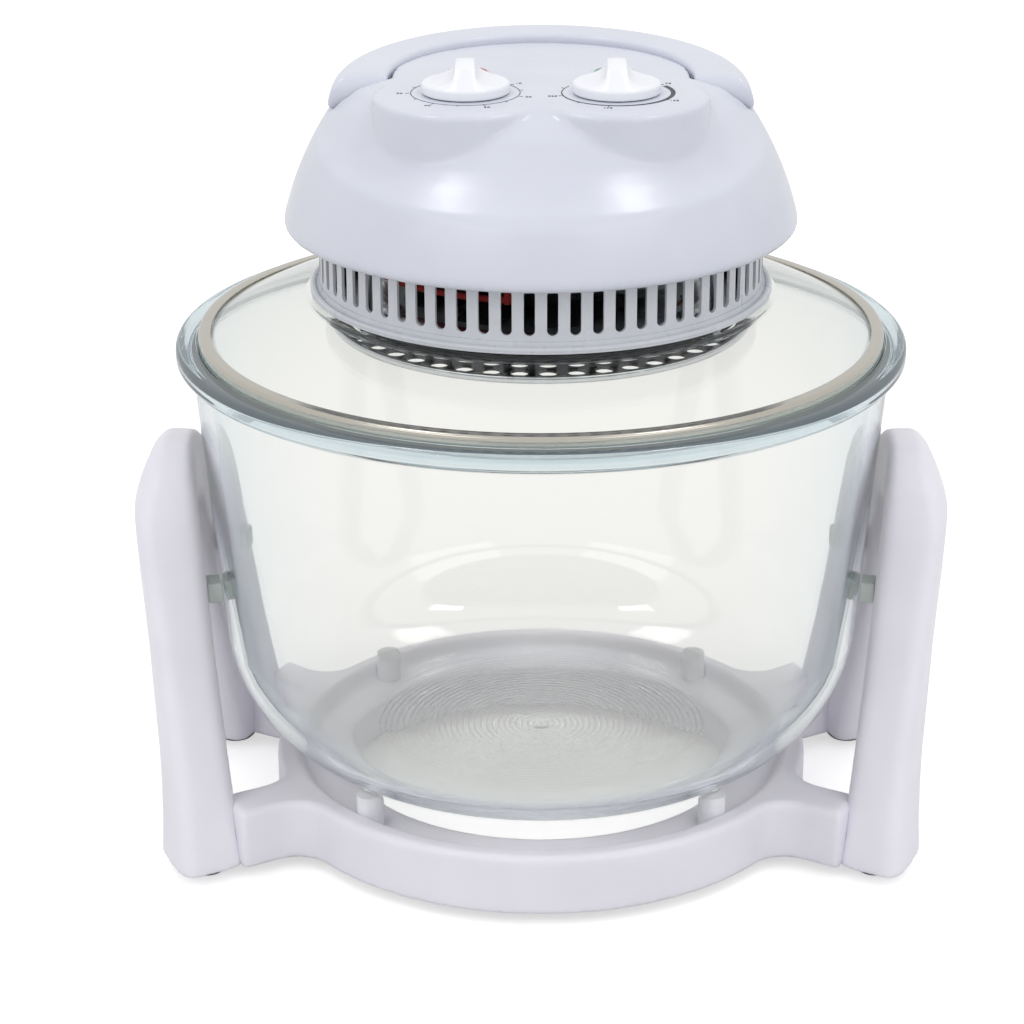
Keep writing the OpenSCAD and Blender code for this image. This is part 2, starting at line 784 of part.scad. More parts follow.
module mounting_plate() {
    color("#8d9096")
    difference() {
        translate([0, 0, plate_z]) cylinder(r = collar_r - sheet_t - 0.2, h = plate_t, $fn = 128);
        translate([0, 0, plate_z - 1]) cylinder(d = 16, h = 10, $fn = 48);
        at_rods() cylinder(d = rod_d, h = 120, center = true, $fn = 24);
        at_bosses() translate([0, 0, plate_z - 1]) cylinder(d = 3.2, h = 10, $fn = 24);
        rotate(lamp_wire_to) translate([lamp_wire_r, 0, plate_z - 1]) cylinder(d = 10, h = 10, $fn = 24);
        bulb_axis() cylinder(d = 4, h = 120, center = true, $fn = 24);
        // Air openings round the motor
        for (a = [0:30:330])
            rotate(a) translate([44, 0, plate_z - 1]) cylinder(d = 11, h = 10, $fn = 32);
    }
}

module motor() {
    z = plate_z + plate_t;
    color("#7f858b")
    difference() {
        union() {
            // Feet and lower bearing bridge
            for (mx = [-1, 1])
                translate([mx * 19, 0, z]) cylinder(d = 6, h = 4, $fn = 32);
            translate([-23, -5, z + 2.5]) cube([46, 10, 1.5]);
            // Laminated stack with its coil at one side
            translate([-23, -16, z + 4]) cube([46, 32, 11]);
            translate([-13, -26, z + 5]) cube([26, 10, 9]);
            // Upper bearing bridge
            translate([-23, -5, z + 15]) cube([46, 10, 1.5]);
            translate([0, 0, z + 1]) cylinder(d = 14, h = 17.5, $fn = 48);
        }
        translate([0, 0, z - 1]) cylinder(d = shaft_d + 2 * run_fit, h = 40, $fn = 48);
    }
}

module motor_shaft() {
    low = guard_z + guard_t + 1.2;
    color("#c0c3c7")
    translate([0, 0, low]) cylinder(d = shaft_d, h = plate_z + plate_t + 20.5 - low, $fn = 48);
}

// A bladed wheel: pitched blades round a hub, trimmed to a drum
module fan_wheel(d, hub_d, h, count, pitch, t = 0.8) {
    difference() {
        union() {
            cylinder(d = hub_d, h = h, $fn = 64);
            intersection() {
                for (i = [0:count - 1])
                    rotate(360 * i / count) translate([0, 0, h / 2]) rotate([pitch, 0, 0])
                        translate([hub_d / 2 - 1.5, -h, -t / 2]) cube([d / 2, 2 * h, t]);
                cylinder(d = d, h = h, $fn = 96);
            }
        }
        translate([0, 0, -1]) cylinder(d = shaft_d, h = h + 2, $fn = 48);
    }
}

cool_fan_h = 11;
cool_fan_z = reflector_top + 8.5;

module cooling_fan() {
    color("#3a3d40")
    translate([0, 0, cool_fan_z]) fan_wheel(cool_fan_d, 30, cool_fan_h, cool_blades, 38);
}

hot_fan_h = 6.5;
hot_fan_z = guard_z + guard_t + 1.6;

module convection_fan() {
    color("#b5b8bb")
    translate([0, 0, hot_fan_z + 1.8]) fan_wheel(hot_fan_d, 22, hot_fan_h, hot_blades, 40);
}

// Nut that holds the convection fan on the shaft
module fan_nut() {
    color("#a0a3a7")
    translate([0, 0, hot_fan_z]) difference() {
        cylinder(d = 11, h = 1.8, $fn = 6);
        translate([0, 0, -1]) cylinder(d = shaft_d, h = 4, $fn = 48);
    }
}

// Red wires from the lamp's two ends, round inside the collar and up into the head
lamp_wire_r = 69;
lamp_wire_to = 262;
lamp_wire_d = 2.4;
lamp_wire_step = 4;
lamp_wire_z = reflector_top + 4;

module lamp_wires() {
    color("#b5322a") {
        lamp_wire(90 + lamp_gap_angle, 4, -lamp_wire_step / 2);
        lamp_wire(90 - lamp_gap_angle, 8, lamp_wire_step / 2);
    }
}

// One wire: out from a lamp end, up, round, and up through the mounting plate
module lamp_wire(from, rise, shift) {
    to = lamp_wire_to + shift;
    bend_d = lamp_wire_d + 0.4;
    out_r = lamp_ring_r + holder_d / 2 + 0.1;
    rotate(from) translate([out_r, 0, lamp_wire_z]) rotate([0, 90, 0])
        cylinder(d = lamp_wire_d, h = lamp_wire_r - out_r, $fn = 16);
    rotate(from) translate([lamp_wire_r, 0, lamp_wire_z - bend_d / 2])
        cylinder(d = bend_d, h = rise + bend_d, $fn = 16);
    translate([0, 0, lamp_wire_z + rise]) rotate(from)
        rotate_extrude(angle = to - from, $fn = 96)
            translate([lamp_wire_r, 0]) circle(d = lamp_wire_d, $fn = 16);
    rotate(to) translate([lamp_wire_r, 0, lamp_wire_z + rise - bend_d / 2])
        cylinder(d = bend_d, h = plate_z + plate_t + 6 - lamp_wire_z - rise, $fn = 16);
}

// ----------------------------------------------------------------- head

// Section of the head, moved inwards by a wall
module head_section(wall = 0) {
    shoulder_a = acos((shoulder_z - (panel_z - shoulder_r)) / shoulder_r);
    top = panel_z - wall;
    sr = shoulder_r - wall;
    sx = flank_at(shoulder_z) - shoulder_r * sin(shoulder_a);
    low = wall == 0 ? head_z : head_z + wall;
    foot = wall == 0 ? 2 : 0;
    polygon(concat(
        [[0, top], [0, low], [flank_at(flank_low, wall) - foot, low]],
        wall == 0 ? [[flank_at(flank_low) - 0.6, head_z + 0.6]] : [],
        [for (i = [0:10]) let (z = flank_low + (shoulder_z - flank_low) * i / 10)
            if (i < 10) [flank_at(z, wall), max(low, z)]],
        arc(sx, panel_z - shoulder_r, sr, 90 - shoulder_a, 90, 10)
    ));
}

// The two drums that carry the knobs
module lobes(wall = 0) {
    for (mx = [-1, 1])
        translate([mx * lobe_x, -lobe_y, head_z + 20])
            cylinder(r = lobe_r - wall, h = head_h - 20 - wall, $fn = 96);
}

// What is cut off the dome in front, so that its face slopes down from the panel round the lobes
module front_slope(wall = 0) {
    slope = [[56, 0.6], [61, -0.6], [70, -3.6], [76.5, -9], [80.5, -14], [84, -18.4],
             [89, -23.2], [98, -30.6], [104, -38.8], [112, -52]];
    side = wall * 0.75;
    translate([0, slope_y, panel_z]) rotate_extrude($fn = 128) polygon(concat(
        [for (p = slope) [p[0] - side, p[1] - side]],
        [[130, -52], [130, 20], [56 - side, 20]]
    ));
}

// The head's whole form, moved inwards by a wall
module head_form(wall = 0) {
    difference() {
        rotate_extrude($fn = 128) head_section(wall);
        front_slope(wall);
    }
    lobes(wall);
}

// The space that the carrying handle lies and turns in, grown by c
module handle_pocket(c) {
    reach = 60;
    difference() {
        union() {
            translate([-120, pivot_y, seat_z - c]) cube([240, 120, 60]);
            translate([0, pivot_y, pivot_z]) rotate([0, 90, 0])
                cylinder(r = arm_end_r + c, h = 240, center = true, $fn = 64);
            translate([-120, pivot_y - arm_end_r - c, pivot_z]) cube([240, arm_end_r + c, 60]);
        }
        cylinder(r = turret_r + gap - c, h = 400, $fn = 128);
        translate([-(turret_r + gap - c), -120, 0]) cube([2 * (turret_r + gap - c), 120, 400]);
    }
    // Finger room under the middle of the bow
    translate([0, handle_in_r + 5 - c, seat_z + 28]) rotate([-90, 0, 0])
        cylinder(r = 40 + c, h = reach, $fn = 96);
}

// Places its children on the axes of the screw bosses under the head
module at_bosses() {
    for (a = boss_angles) rotate(a) translate([boss_r, 0, 0]) children();
}

module head_shell() {
    collar_hole_r = collar_r + 0.4;
    boss_z = collar_z + collar_h;
    color("#e9ebf3")
    difference() {
        union() {
            difference() {
                head_form();
                difference() {
                    head_form(head_wall);
                    handle_pocket(head_wall + gap);
                }
                translate([0, 0, head_z - 1]) cylinder(r = collar_hole_r, h = head_wall + 2, $fn = 128);
            }
            intersection() {
                at_bosses() translate([0, 0, boss_z]) cylinder(d = boss_d, h = 60, $fn = 32);
                head_form(head_wall / 2);
            }
        }
        handle_pocket(gap);
        at_bosses() translate([0, 0, boss_z - 1]) cylinder(d = 2.6, h = 13, $fn = 24);
        for (mx = [-1, 1]) {
            translate([mx * knob_x, -knob_y, panel_z - 10]) cylinder(d = spindle_d + 2, h = 20, $fn = 32);
            translate([mx * knob_x, lens_y, panel_z - 10]) cylinder(d = lens_d - 2, h = 20, $fn = 48);
        }
        translate([0, pivot_y, pivot_z]) rotate([0, 90, 0])
            cylinder(d = handle_pin_d, h = 130, center = true, $fn = 32);
        rotate(plunger_angle) translate([plunger_r, 0, seat_z - 12])
            cylinder(d = plunger_d + 0.2, h = 20, $fn = 32);
        cord_axis() cylinder(d = 11, h = 20, center = true, $fn = 32);
    }
}

module head_screws() {
    color("#a7aab0")
    at_bosses() {
        translate([0, 0, plate_z - 2]) cylinder(d = 6, h = 2, $fn = 24);
        translate([0, 0, plate_z]) cylinder(d = 2.6, h = plate_t + sheet_t + 10, $fn = 24);
    }
}

// Axis of the bush that the mains lead leaves the head through
module cord_axis() {
    translate([0, flank_at(head_z + 16) - head_wall / 2, head_z + 16]) rotate([-76, 0, 0]) children();
}

module cord_gland() {
    color("#3d3f42")
    cord_axis() difference() {
        union() {
            translate([0, 0, -6]) cylinder(d = 11, h = 8, $fn = 32);
            translate([0, 0, 2]) cylinder(d1 = 14, d2 = 12, h = 2.5, $fn = 32);
        }
        translate([0, 0, -7]) cylinder(d = 7, h = 20, $fn = 32);
    }
}

// --------------------------------------------------------------- handle

// Section of the bow: rounded on top and along its outer edge
module bow_section() {
    in_r = handle_in_r;
    out_r = handle_r;
    top = handle_t;
    polygon(concat(
        [[in_r, 0.8], [in_r + 0.8, 0], [out_r - 1, 0], [out_r, 1]],
        [[out_r - 0.6, 5]],
        arc(out_r - 9.6, top - 8.6, 8.6, 8, 90, 8),
        arc(in_r + 1.5, top - 1.5, 1.5, 90, 180, 4)
    ));
}

module handle() {
    color("#e9ebf3")
    translate([0, pivot_y, pivot_z]) rotate([handle_tilt, 0, 0])
    translate([0, -pivot_y, -handle_t / 2])
    difference() {
        union() {
            intersection() {
                rotate_extrude($fn = 128) bow_section();
                translate([-100, 0, -10]) cube([200, 100, 40]);
            }
            intersection() {
                for (mx = [0, 1])
                    mirror([mx, 0, 0]) rotate([90, 0, 0]) linear_extrude(20) bow_section();
                translate([0, pivot_y, handle_t / 2]) rotate([0, 90, 0])
                    cylinder(r = arm_end_r, h = 200, center = true, $fn = 64);
            }
        }
        translate([0, pivot_y, handle_t / 2]) rotate([0, 90, 0])
            cylinder(d = handle_pin_d + 2 * run_fit, h = 2 * (handle_in_r + 14), center = true, $fn = 48);
    }
}

module handle_pins() {
    color("#a7aab0")
    for (mx = [-1, 1])
        translate([0, pivot_y, pivot_z]) rotate([0, 90 * mx, 0]) {
            translate([0, 0, turret_r - 6]) cylinder(d = handle_pin_d, h = 6 + 13, $fn = 48);
            translate([0, 0, turret_r - head_wall - 3])
                cylinder(d = handle_pin_d + 2, h = 2, $fn = 32);
        }
}

// ------------------------------------------------------------- controls

// A knob: a round skirt with a pinch grip that flares into it
module knob() {
    r = knob_d / 2;
    grip = 3.6;
    flare = r - 2.4 - grip;
    rise = knob_h - knob_skirt_h;
    difference() {
        intersection() {
            rotate_extrude($fn = 96) polygon(concat(
                [[0, 0], [r - 0.4, 0], [r, 0.4], [r, knob_skirt_h - 1.2]],
                arc(r - 1.2, knob_skirt_h - 1.2, 1.2, 0, 60, 4),
                arc(0, -knob_h * 0.35, knob_h * 1.35, 62, 90, 10)
            ));
            rotate([90, 0, 0]) linear_extrude(2 * r + 2, center = true) polygon(concat(
                [[-r - 1, -1], [r + 1, -1], [r + 1, knob_skirt_h]],
                [for (i = [0:10]) let (s = i / 10)
                    [grip + flare * (1 - sin(90 * s)), knob_skirt_h + rise * (1 - cos(90 * s)) * 0.92]],
                [[grip - 1, knob_h], [1 - grip, knob_h]],
                [for (i = [10:-1:0]) let (s = i / 10)
                    [-grip - flare * (1 - sin(90 * s)), knob_skirt_h + rise * (1 - cos(90 * s)) * 0.92]],
                [[-r - 1, knob_skirt_h]]
            ));
        }
        translate([0, 0, -1]) cylinder(d = spindle_d, h = 8, $fn = 32);
    }
}

module timer_knob() {
    color("#f2f3f7") translate([-knob_x, -knob_y, knob_z]) knob();
}

module thermostat_knob() {
    color("#f2f3f7") translate([knob_x, -knob_y, knob_z]) knob();
}

// Spindle from a unit up into its knob
module spindle() {
    cylinder(d = spindle_d, h = 15.5, $fn = 32);
}

spindle_z = knob_z + 7 - 15.5;

module timer_spindle() {
    color("#cfd1d4") translate([-knob_x, -knob_y, spindle_z]) spindle();
}

module thermostat_spindle() {
    color("#cfd1d4") translate([knob_x, -knob_y, spindle_z]) spindle();
}

// Clockwork timer under the left knob, hung from the panel
module timer_unit() {
    color("#c8ccd0")
    translate([-knob_x, -knob_y, unit_top]) difference() {
        union() {
            translate([-18, -16, -24]) cube([36, 32, 22]);
            translate([-20, -7, -2]) cube([40, 14, 2]);
            translate([-14, -10, -27]) cube([28, 20, 3]);
        }
        translate([0, 0, -7]) cylinder(d = spindle_d + 2 * run_fit, h = 10, $fn = 32);
    }
}

// Capillary thermostat under the right knob
module thermostat_unit() {
    color("#c8ccd0")
    translate([knob_x, -knob_y, unit_top]) difference() {
        union() {
            translate([0, 0, -18]) cylinder(d = 34, h = 16, $fn = 64);
            translate([-17, -7, -2]) cube([34, 14, 2]);
            translate([-11, -14, -25]) cube([22, 28, 7]);
        }
        translate([0, 0, -7]) cylinder(d = spindle_d + 2 * run_fit, h = 10, $fn = 32);
    }
}

// Axis of the thermostat's sensing bulb, beside the lamp's circle
module bulb_axis() {
    rotate(-28) translate([61.5, 0, lamp_z]) children();
}

module thermostat_bulb() {
    top = plate_z + plate_t + 12;
    color("#b87333")
    bulb_axis() {
        translate([0, 0, -3]) cylinder(d = 4, h = 8, $fn = 24);
        translate([0, 0, 5]) cylinder(d = 1.6, h = top - lamp_z - 5, $fn = 16);
    }
}

// Safety switch that the carrying handle presses when it lies down
module microswitch() {
    color("#2d2f33")
    rotate(plunger_angle) translate([plunger_r, 0, seat_z - head_wall - gap]) difference() {
        translate([-7, -10, -17]) cube([13, 20, 12]);
        translate([0, 0, -8]) cylinder(d = plunger_d + 0.2, h = 10, $fn = 32);
    }
}

module switch_plunger() {
    color("#c23b2e")
    rotate(plunger_angle) translate([plunger_r, 0, seat_z - 10.5])
        cylinder(d = plunger_d, h = 10.5 + plunger_rise, $fn = 32);
}

module lens() {
    rotate_extrude($fn = 48) polygon(concat(
        [[0, -5], [lens_d / 2 - 1, -5], [lens_d / 2 - 1, 0], [lens_d / 2, 0], [lens_d / 2, 0.6]],
        [for (i = [1:8]) let (s = i / 8) [lens_d / 2 * cos(90 * s), 0.6 + 1.4 * sin(90 * s)]]
    ));
}

module red_lens() {
    color("#c2203a") translate([-knob_x, lens_y, panel_z]) lens();
}

module green_lens() {
    color("#149a78") translate([knob_x, lens_y, panel_z]) lens();
}

base_ring();
side_frame_left();
side_frame_right();
stand_screws();
stand_feet();
bowl_pads();
side_pads();
bowl();
lid_glass();
lid_band();
lid_gasket();
clamp_ring();
vent_collar();
reflector();
halogen_tube();
filament();
lamp_holders();
lamp_clips();
guard_plate();
guard_rim();
tie_rods();
mounting_plate();
motor();
lamp_wires();
head_shell();
head_screws();
timer_unit();
thermostat_unit();
thermostat_bulb();
microswitch();
red_lens();
green_lens();
handle_pins();
cord_gland();
handle();
switch_plunger();
timer_knob();
timer_spindle();
thermostat_knob();
thermostat_spindle();
motor_shaft();
cooling_fan();
convection_fan();
fan_nut();
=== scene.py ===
"""Looks of a table-top halogen oven: glass bowl, lift-off lid with a heater head, and a moulded stand."""

import logging
import math
from dataclasses import dataclass
from enum import Enum
from typing import Callable, Sequence

import bmesh
import bpy
from mathutils import Matrix, Vector


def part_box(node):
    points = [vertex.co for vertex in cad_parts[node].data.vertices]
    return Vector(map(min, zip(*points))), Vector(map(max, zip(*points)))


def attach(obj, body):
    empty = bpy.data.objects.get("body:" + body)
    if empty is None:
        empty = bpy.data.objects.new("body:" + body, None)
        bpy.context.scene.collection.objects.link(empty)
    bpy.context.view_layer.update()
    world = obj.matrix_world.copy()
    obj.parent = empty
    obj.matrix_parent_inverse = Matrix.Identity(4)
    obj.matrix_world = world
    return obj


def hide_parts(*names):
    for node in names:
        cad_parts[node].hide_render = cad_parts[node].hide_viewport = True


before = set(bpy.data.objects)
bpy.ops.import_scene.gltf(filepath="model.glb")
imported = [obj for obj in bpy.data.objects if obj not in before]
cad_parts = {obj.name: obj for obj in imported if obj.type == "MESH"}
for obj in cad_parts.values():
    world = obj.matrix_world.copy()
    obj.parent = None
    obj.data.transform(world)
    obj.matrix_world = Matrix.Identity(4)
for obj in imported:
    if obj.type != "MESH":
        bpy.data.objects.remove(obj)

Tree = bpy.types.NodeTree
Node = bpy.types.Node
Socket = bpy.types.NodeSocket
Piece = bpy.types.Object
Work = bmesh.types.BMesh
Face = bmesh.types.BMFace

MM = 0.001
FULL_TURN = 2 * math.pi
IMAGE_SIDE = 1024

logging.basicConfig(level=logging.INFO, format="%(message)s")
log = logging.getLogger("halogen_oven")


class Side(Enum):
    """Left or right of the oven, as the direction along X."""

    LEFT = -1
    RIGHT = 1


class Turned(Enum):
    """How a metal surface was worked: round a lathe's axis, or rolled as sheet."""

    SPUN = "spun"
    ROLLED = "rolled"


# ------------------------------------------------------------------ small helpers


def srgb(code: str) -> tuple[float, ...]:
    """Turns an sRGB hex colour such as "#a0b1c2" into linear red, green and blue, and an alpha of 1."""

    def linear(part: str) -> float:
        value = int(part, 16) / 255
        return value / 12.92 if value <= 0.04045 else ((value + 0.055) / 1.055) ** 2.4

    return tuple(linear(code[i : i + 2]) for i in (1, 3, 5)) + (1.0,)


def add_node(tree: Tree, kind: str, settings: dict | None = None, **inputs) -> Node:
    """Adds a shader node with its settings and its inputs.

    Args:
        tree: The node tree.
        kind: The node's type name.
        settings: Properties of the node itself.
        **inputs: Values or sockets by input name, with _ for a space, or _0, _1 for an index.

    Returns:
        The new node.
    """
    made = tree.nodes.new(kind)
    for key, value in (settings or {}).items():
        setattr(made, key, value)
    for key, value in inputs.items():
        place = int(key[1:]) if key[0] == "_" else key.replace("_", " ")
        socket = made.inputs[place]
        if isinstance(value, Socket):
            tree.links.new(value, socket)
        else:
            socket.default_value = value
    return made


def calc(tree: Tree, operation: str, first: Socket | float, second: Socket | float = 0.0) -> Socket:
    """Returns the result of one operation on two values, of which a sine takes only the first."""
    return add_node(tree, "ShaderNodeMath", {"operation": operation}, _0=first, _1=second).outputs[0]


def ramp(tree: Tree, value: Socket, start: float, end: float, low: float = 0.0, high: float = 1.0) -> Socket:
    """Returns a value that runs from low to high as the given one runs from start to end."""
    ends = {"From_Min": start, "From_Max": end, "To_Min": low, "To_Max": high}
    return add_node(tree, "ShaderNodeMapRange", Value=value, **ends).outputs["Result"]


def blank_tree(owner: bpy.types.ID, output_kind: str) -> tuple[Tree, Node]:
    """Clears the nodes of a material or world down to one output, and returns the tree and that output."""
    owner.use_nodes = True
    tree = owner.node_tree
    tree.nodes.clear()
    return tree, tree.nodes.new(output_kind)


def per_mm(size: float) -> float:
    """Returns the texture scale at which a pattern's features measure size millimetres."""
    return 1 / (size * MM)


def levels(node: str) -> tuple[float, float]:
    """Returns the heights of a CAD node's lowest and highest point, in millimetres."""
    low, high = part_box(node)
    return low.z / MM, high.z / MM


def polar(r: float, angle: float, z: float = 0.0) -> Vector:
    """Returns, in metres, the point r millimetres off the axis, at an angle in radians, z millimetres up."""
    return Vector((r * math.cos(angle), r * math.sin(angle), z)) * MM


def placed(name: str, data: bpy.types.ID) -> Piece:
    """Puts a mesh, curve, camera or lamp into the scene as a new object at the origin and returns it."""
    made = bpy.data.objects.new(name, data)
    bpy.context.scene.collection.objects.link(made)
    return made


def baked(source: Piece) -> bpy.types.Mesh:
    """Returns a new mesh with the source object's modifiers applied."""
    graph = bpy.context.evaluated_depsgraph_get()
    return bpy.data.meshes.new_from_object(source.evaluated_get(graph))


def from_bmesh(name: str, work: Work, smooth: bool = True) -> Piece:
    """Closes a bmesh into an object.

    Args:
        name: Name of the new object and its mesh.
        work: The finished bmesh, which is freed.
        smooth: Whether the faces are shaded smooth.

    Returns:
        The new object.
    """
    bmesh.ops.remove_doubles(work, verts=work.verts, dist=1e-7)
    bmesh.ops.recalc_face_normals(work, faces=work.faces)
    for face in work.faces:
        face.smooth = smooth
    mesh = bpy.data.meshes.new(name)
    work.to_mesh(mesh)
    work.free()
    return placed(name, mesh)


def fillet(before: Vector, corner: Vector, after: Vector, radius: float, steps: int) -> list[Vector]:
    """Rounds one corner of an outline.

    Args:
        before: The point before the corner.
        corner: The corner itself.
        after: The point after the corner.
        radius: Radius of the rounding, in the points' units.
        steps: Number of chords along the rounding.

    Returns:
        The points that stand for the corner.
    """
    if radius <= 0:
        return [corner]
    back, ahead = (before - corner).normalized(), (after - corner).normalized()
    half = back.angle(ahead) / 2
    reach = radius / math.tan(half)
    centre = corner + (back + ahead).normalized() * radius / math.sin(half)
    start, end = corner + back * reach - centre, corner + ahead * reach - centre
    turn = start.angle(end)
    points = []
    for i in range(steps + 1):
        share = start * math.sin(turn * (1 - i / steps)) + end * math.sin(turn * i / steps)
        points.append(centre + share / math.sin(turn))
    return points


def rounded(corners: Sequence[tuple[float, float, float]], steps: int) -> list[Vector]:
    """Rounds the corners of a closed outline.

    Args:
        corners: Distance from the axis, height and corner radius of each corner, in millimetres.
        steps: Number of chords along each rounding.

    Returns:
        Points of the outline in the XZ plane, in metres.
    """
    points = [Vector((r * MM, 0, z * MM)) for r, z, _ in corners]
    count = len(points)
    out: list[Vector] = []
    for i, (_, _, radius) in enumerate(corners):
        out += fillet(points[i - 1], points[i], points[(i + 1) % count], radius * MM, steps)
    return out


def bar_section(r: tuple[float, float], z: tuple[float, float], radii: tuple, steps: int) -> list[Vector]:
    """Returns the rounded section of a plain ring.

    Args:
        r: Its inner and outer radius, in millimetres.
        z: Its lowest and highest point, in millimetres.
        radii: Corner radius on its inner and on its outer side, in millimetres.
        steps: Number of chords along each rounding.

    Returns:
        Points of the outline in the XZ plane, in metres.
    """
    (inner, outer), (low, high), (near, far) = r, z, radii
    return rounded([(inner, low, near), (outer, low, far), (outer, high, far), (inner, high, near)], steps)


def spun(name: str, outline: Sequence[Vector], steps: int = 192) -> Piece:
    """Turns a closed outline in the XZ plane round the Z axis.

    Args:
        name: Name of the new piece.
        outline: The outline's points, in order.
        steps: Number of steps of the full turn.

    Returns:
        The turned piece.
    """
    work = bmesh.new()
    points = [work.verts.new(p) for p in outline]
    edges = [work.edges.new((a, b)) for a, b in zip(points, points[1:] + points[:1])]
    bmesh.ops.spin(
        work,
        geom=points + edges,
        cent=(0, 0, 0),
        axis=(0, 0, 1),
        angle=FULL_TURN,
        steps=steps,
        use_merge=True,
    )
    return from_bmesh(name, work)


def raised(work: Work, faces: list[Face], height: float) -> None:
    """Draws flat faces up into a solid of a height in millimetres."""
    grown = bmesh.ops.extrude_face_region(work, geom=faces)
    top = [v for v in grown["geom"] if isinstance(v, bmesh.types.BMVert)]
    bmesh.ops.translate(work, verts=top, vec=(0, 0, height * MM))


def softened(name: str, node: str, voxel: float, passes: int) -> Piece:
    """Copies a CAD node's mesh and gives all its edges the soft radius of a moulding.

    Args:
        name: Name of the new piece.
        node: The CAD node that is copied.
        voxel: Grid of the new surface, in millimetres.
        passes: Number of smoothing passes, each of which widens the edge radius.

    Returns:
        The new piece, which stands for the node.
    """
    copy = placed(name + "_copy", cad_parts[node].data.copy())
    work = bmesh.new()
    work.from_mesh(copy.data)
    bmesh.ops.remove_doubles(work, verts=work.verts, dist=2e-6)
    work.to_mesh(copy.data)
    work.free()
    remesh = copy.modifiers.new("grid", "REMESH")
    remesh.mode = "VOXEL"
    remesh.voxel_size = voxel * MM
    remesh.adaptivity = 0
    mesh = baked(copy)
    bpy.data.objects.remove(copy)
    work = bmesh.new()
    work.from_mesh(mesh)
    bpy.data.meshes.remove(mesh)
    axes = {f"use_axis_{axis}": True for axis in "xyz"}
    for _ in range(passes):
        bmesh.ops.smooth_vert(work, verts=work.verts, factor=0.5, **axes)
    piece = from_bmesh(name, work)
    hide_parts(node)
    return piece


def reshaped(piece: Piece, rule: Callable[[float, float, float], tuple]) -> Piece:
    """Moves every point of a piece by a rule.

    Args:
        piece: The piece.
        rule: Takes a point's distance from the axis, angle and height, in millimetres and radians, and
            returns them as they are to be.

    Returns:
        The same piece.
    """
    for vert in piece.data.vertices:
        x, y, z = vert.co
        vert.co = polar(*rule(math.hypot(x, y) / MM, math.atan2(y, x), z / MM))
    piece.data.update()
    return piece


def eased(value: float, low: float, high: float) -> float:
    """Returns 0 below low, 1 above high and a smooth rise between them."""
    share = min(1.0, max(0.0, (value - low) / (high - low)))
    return share * share * (3 - 2 * share)


def report(piece: Piece) -> None:
    """Logs a finished piece with its number of faces."""
    log.info("piece %-22s %7d faces", piece.name, len(piece.data.polygons))


# ------------------------------------------------------------------------ finishes


@dataclass(frozen=True)
class Finish:
    """A surface finish. Subclasses fill in the node tree.

    Attributes:
        name: Name of the material, after what the real one is.
    """

    name: str

    def material(self) -> bpy.types.Material:
        """Returns the material, which is made once and shared after that."""
        known = bpy.data.materials.get(self.name)
        if known:
            return known
        made = bpy.data.materials.new(self.name)
        self.fill(*blank_tree(made, "ShaderNodeOutputMaterial"))
        return made

    def fill(self, tree: Tree, output: Node) -> None:
        """Builds the nodes that end in the output node."""
        raise NotImplementedError

    def surface(self, tree: Tree, output: Node, **inputs) -> None:
        """Adds the shader with its inputs and joins it to the output."""
        shader = add_node(tree, "ShaderNodeBsdfPrincipled", **inputs)
        tree.links.new(shader.outputs[0], output.inputs["Surface"])

    def place(self, tree: Tree) -> Socket:
        """Returns the socket with the object's own coordinates, in metres."""
        return add_node(tree, "ShaderNodeTexCoord").outputs["Object"]

    def axes(self, tree: Tree) -> list[Socket]:
        """Returns the object's own X, Y and Z, in metres."""
        return list(add_node(tree, "ShaderNodeSeparateXYZ", Vector=self.place(tree)).outputs)

    def off_axis(self, tree: Tree, x: Socket, y: Socket) -> Socket:
        """Returns how far the point x, y is from the Z axis."""
        flat = add_node(tree, "ShaderNodeCombineXYZ", X=x, Y=y).outputs[0]
        return add_node(tree, "ShaderNodeVectorMath", {"operation": "LENGTH"}, _0=flat).outputs["Value"]

    def noise(self, tree: Tree, size: float, detail: float = 2.0) -> Socket:
        """Returns a noise value whose blotches measure size millimetres."""
        inputs = {"Vector": self.place(tree), "Scale": per_mm(size), "Detail": detail}
        return add_node(tree, "ShaderNodeTexNoise", **inputs).outputs["Fac"]

    def spread(self, tree: Tree, value: Socket, low: float, high: float) -> Socket:
        """Returns a noise value stretched from the middle of its range to low and high."""
        return ramp(tree, value, 0.3, 0.7, low, high)

    def blend(self, tree: Tree, share: Socket, low: Socket | str, high: str) -> Socket:
        """Returns a colour between two by share. The first may be a socket, and codes are sRGB."""
        first = srgb(low) if isinstance(low, str) else low
        return add_node(
            tree, "ShaderNodeMix", {"data_type": "RGBA"}, _0=share, _6=first, _7=srgb(high)
        ).outputs[2]

    def bump(self, tree: Tree, height: Socket, depth: float) -> Socket:
        """Returns a normal that is bumped by height, over depth millimetres."""
        made = add_node(tree, "ShaderNodeBump", Strength=1.0, Distance=depth * MM, Height=height)
        return made.outputs["Normal"]


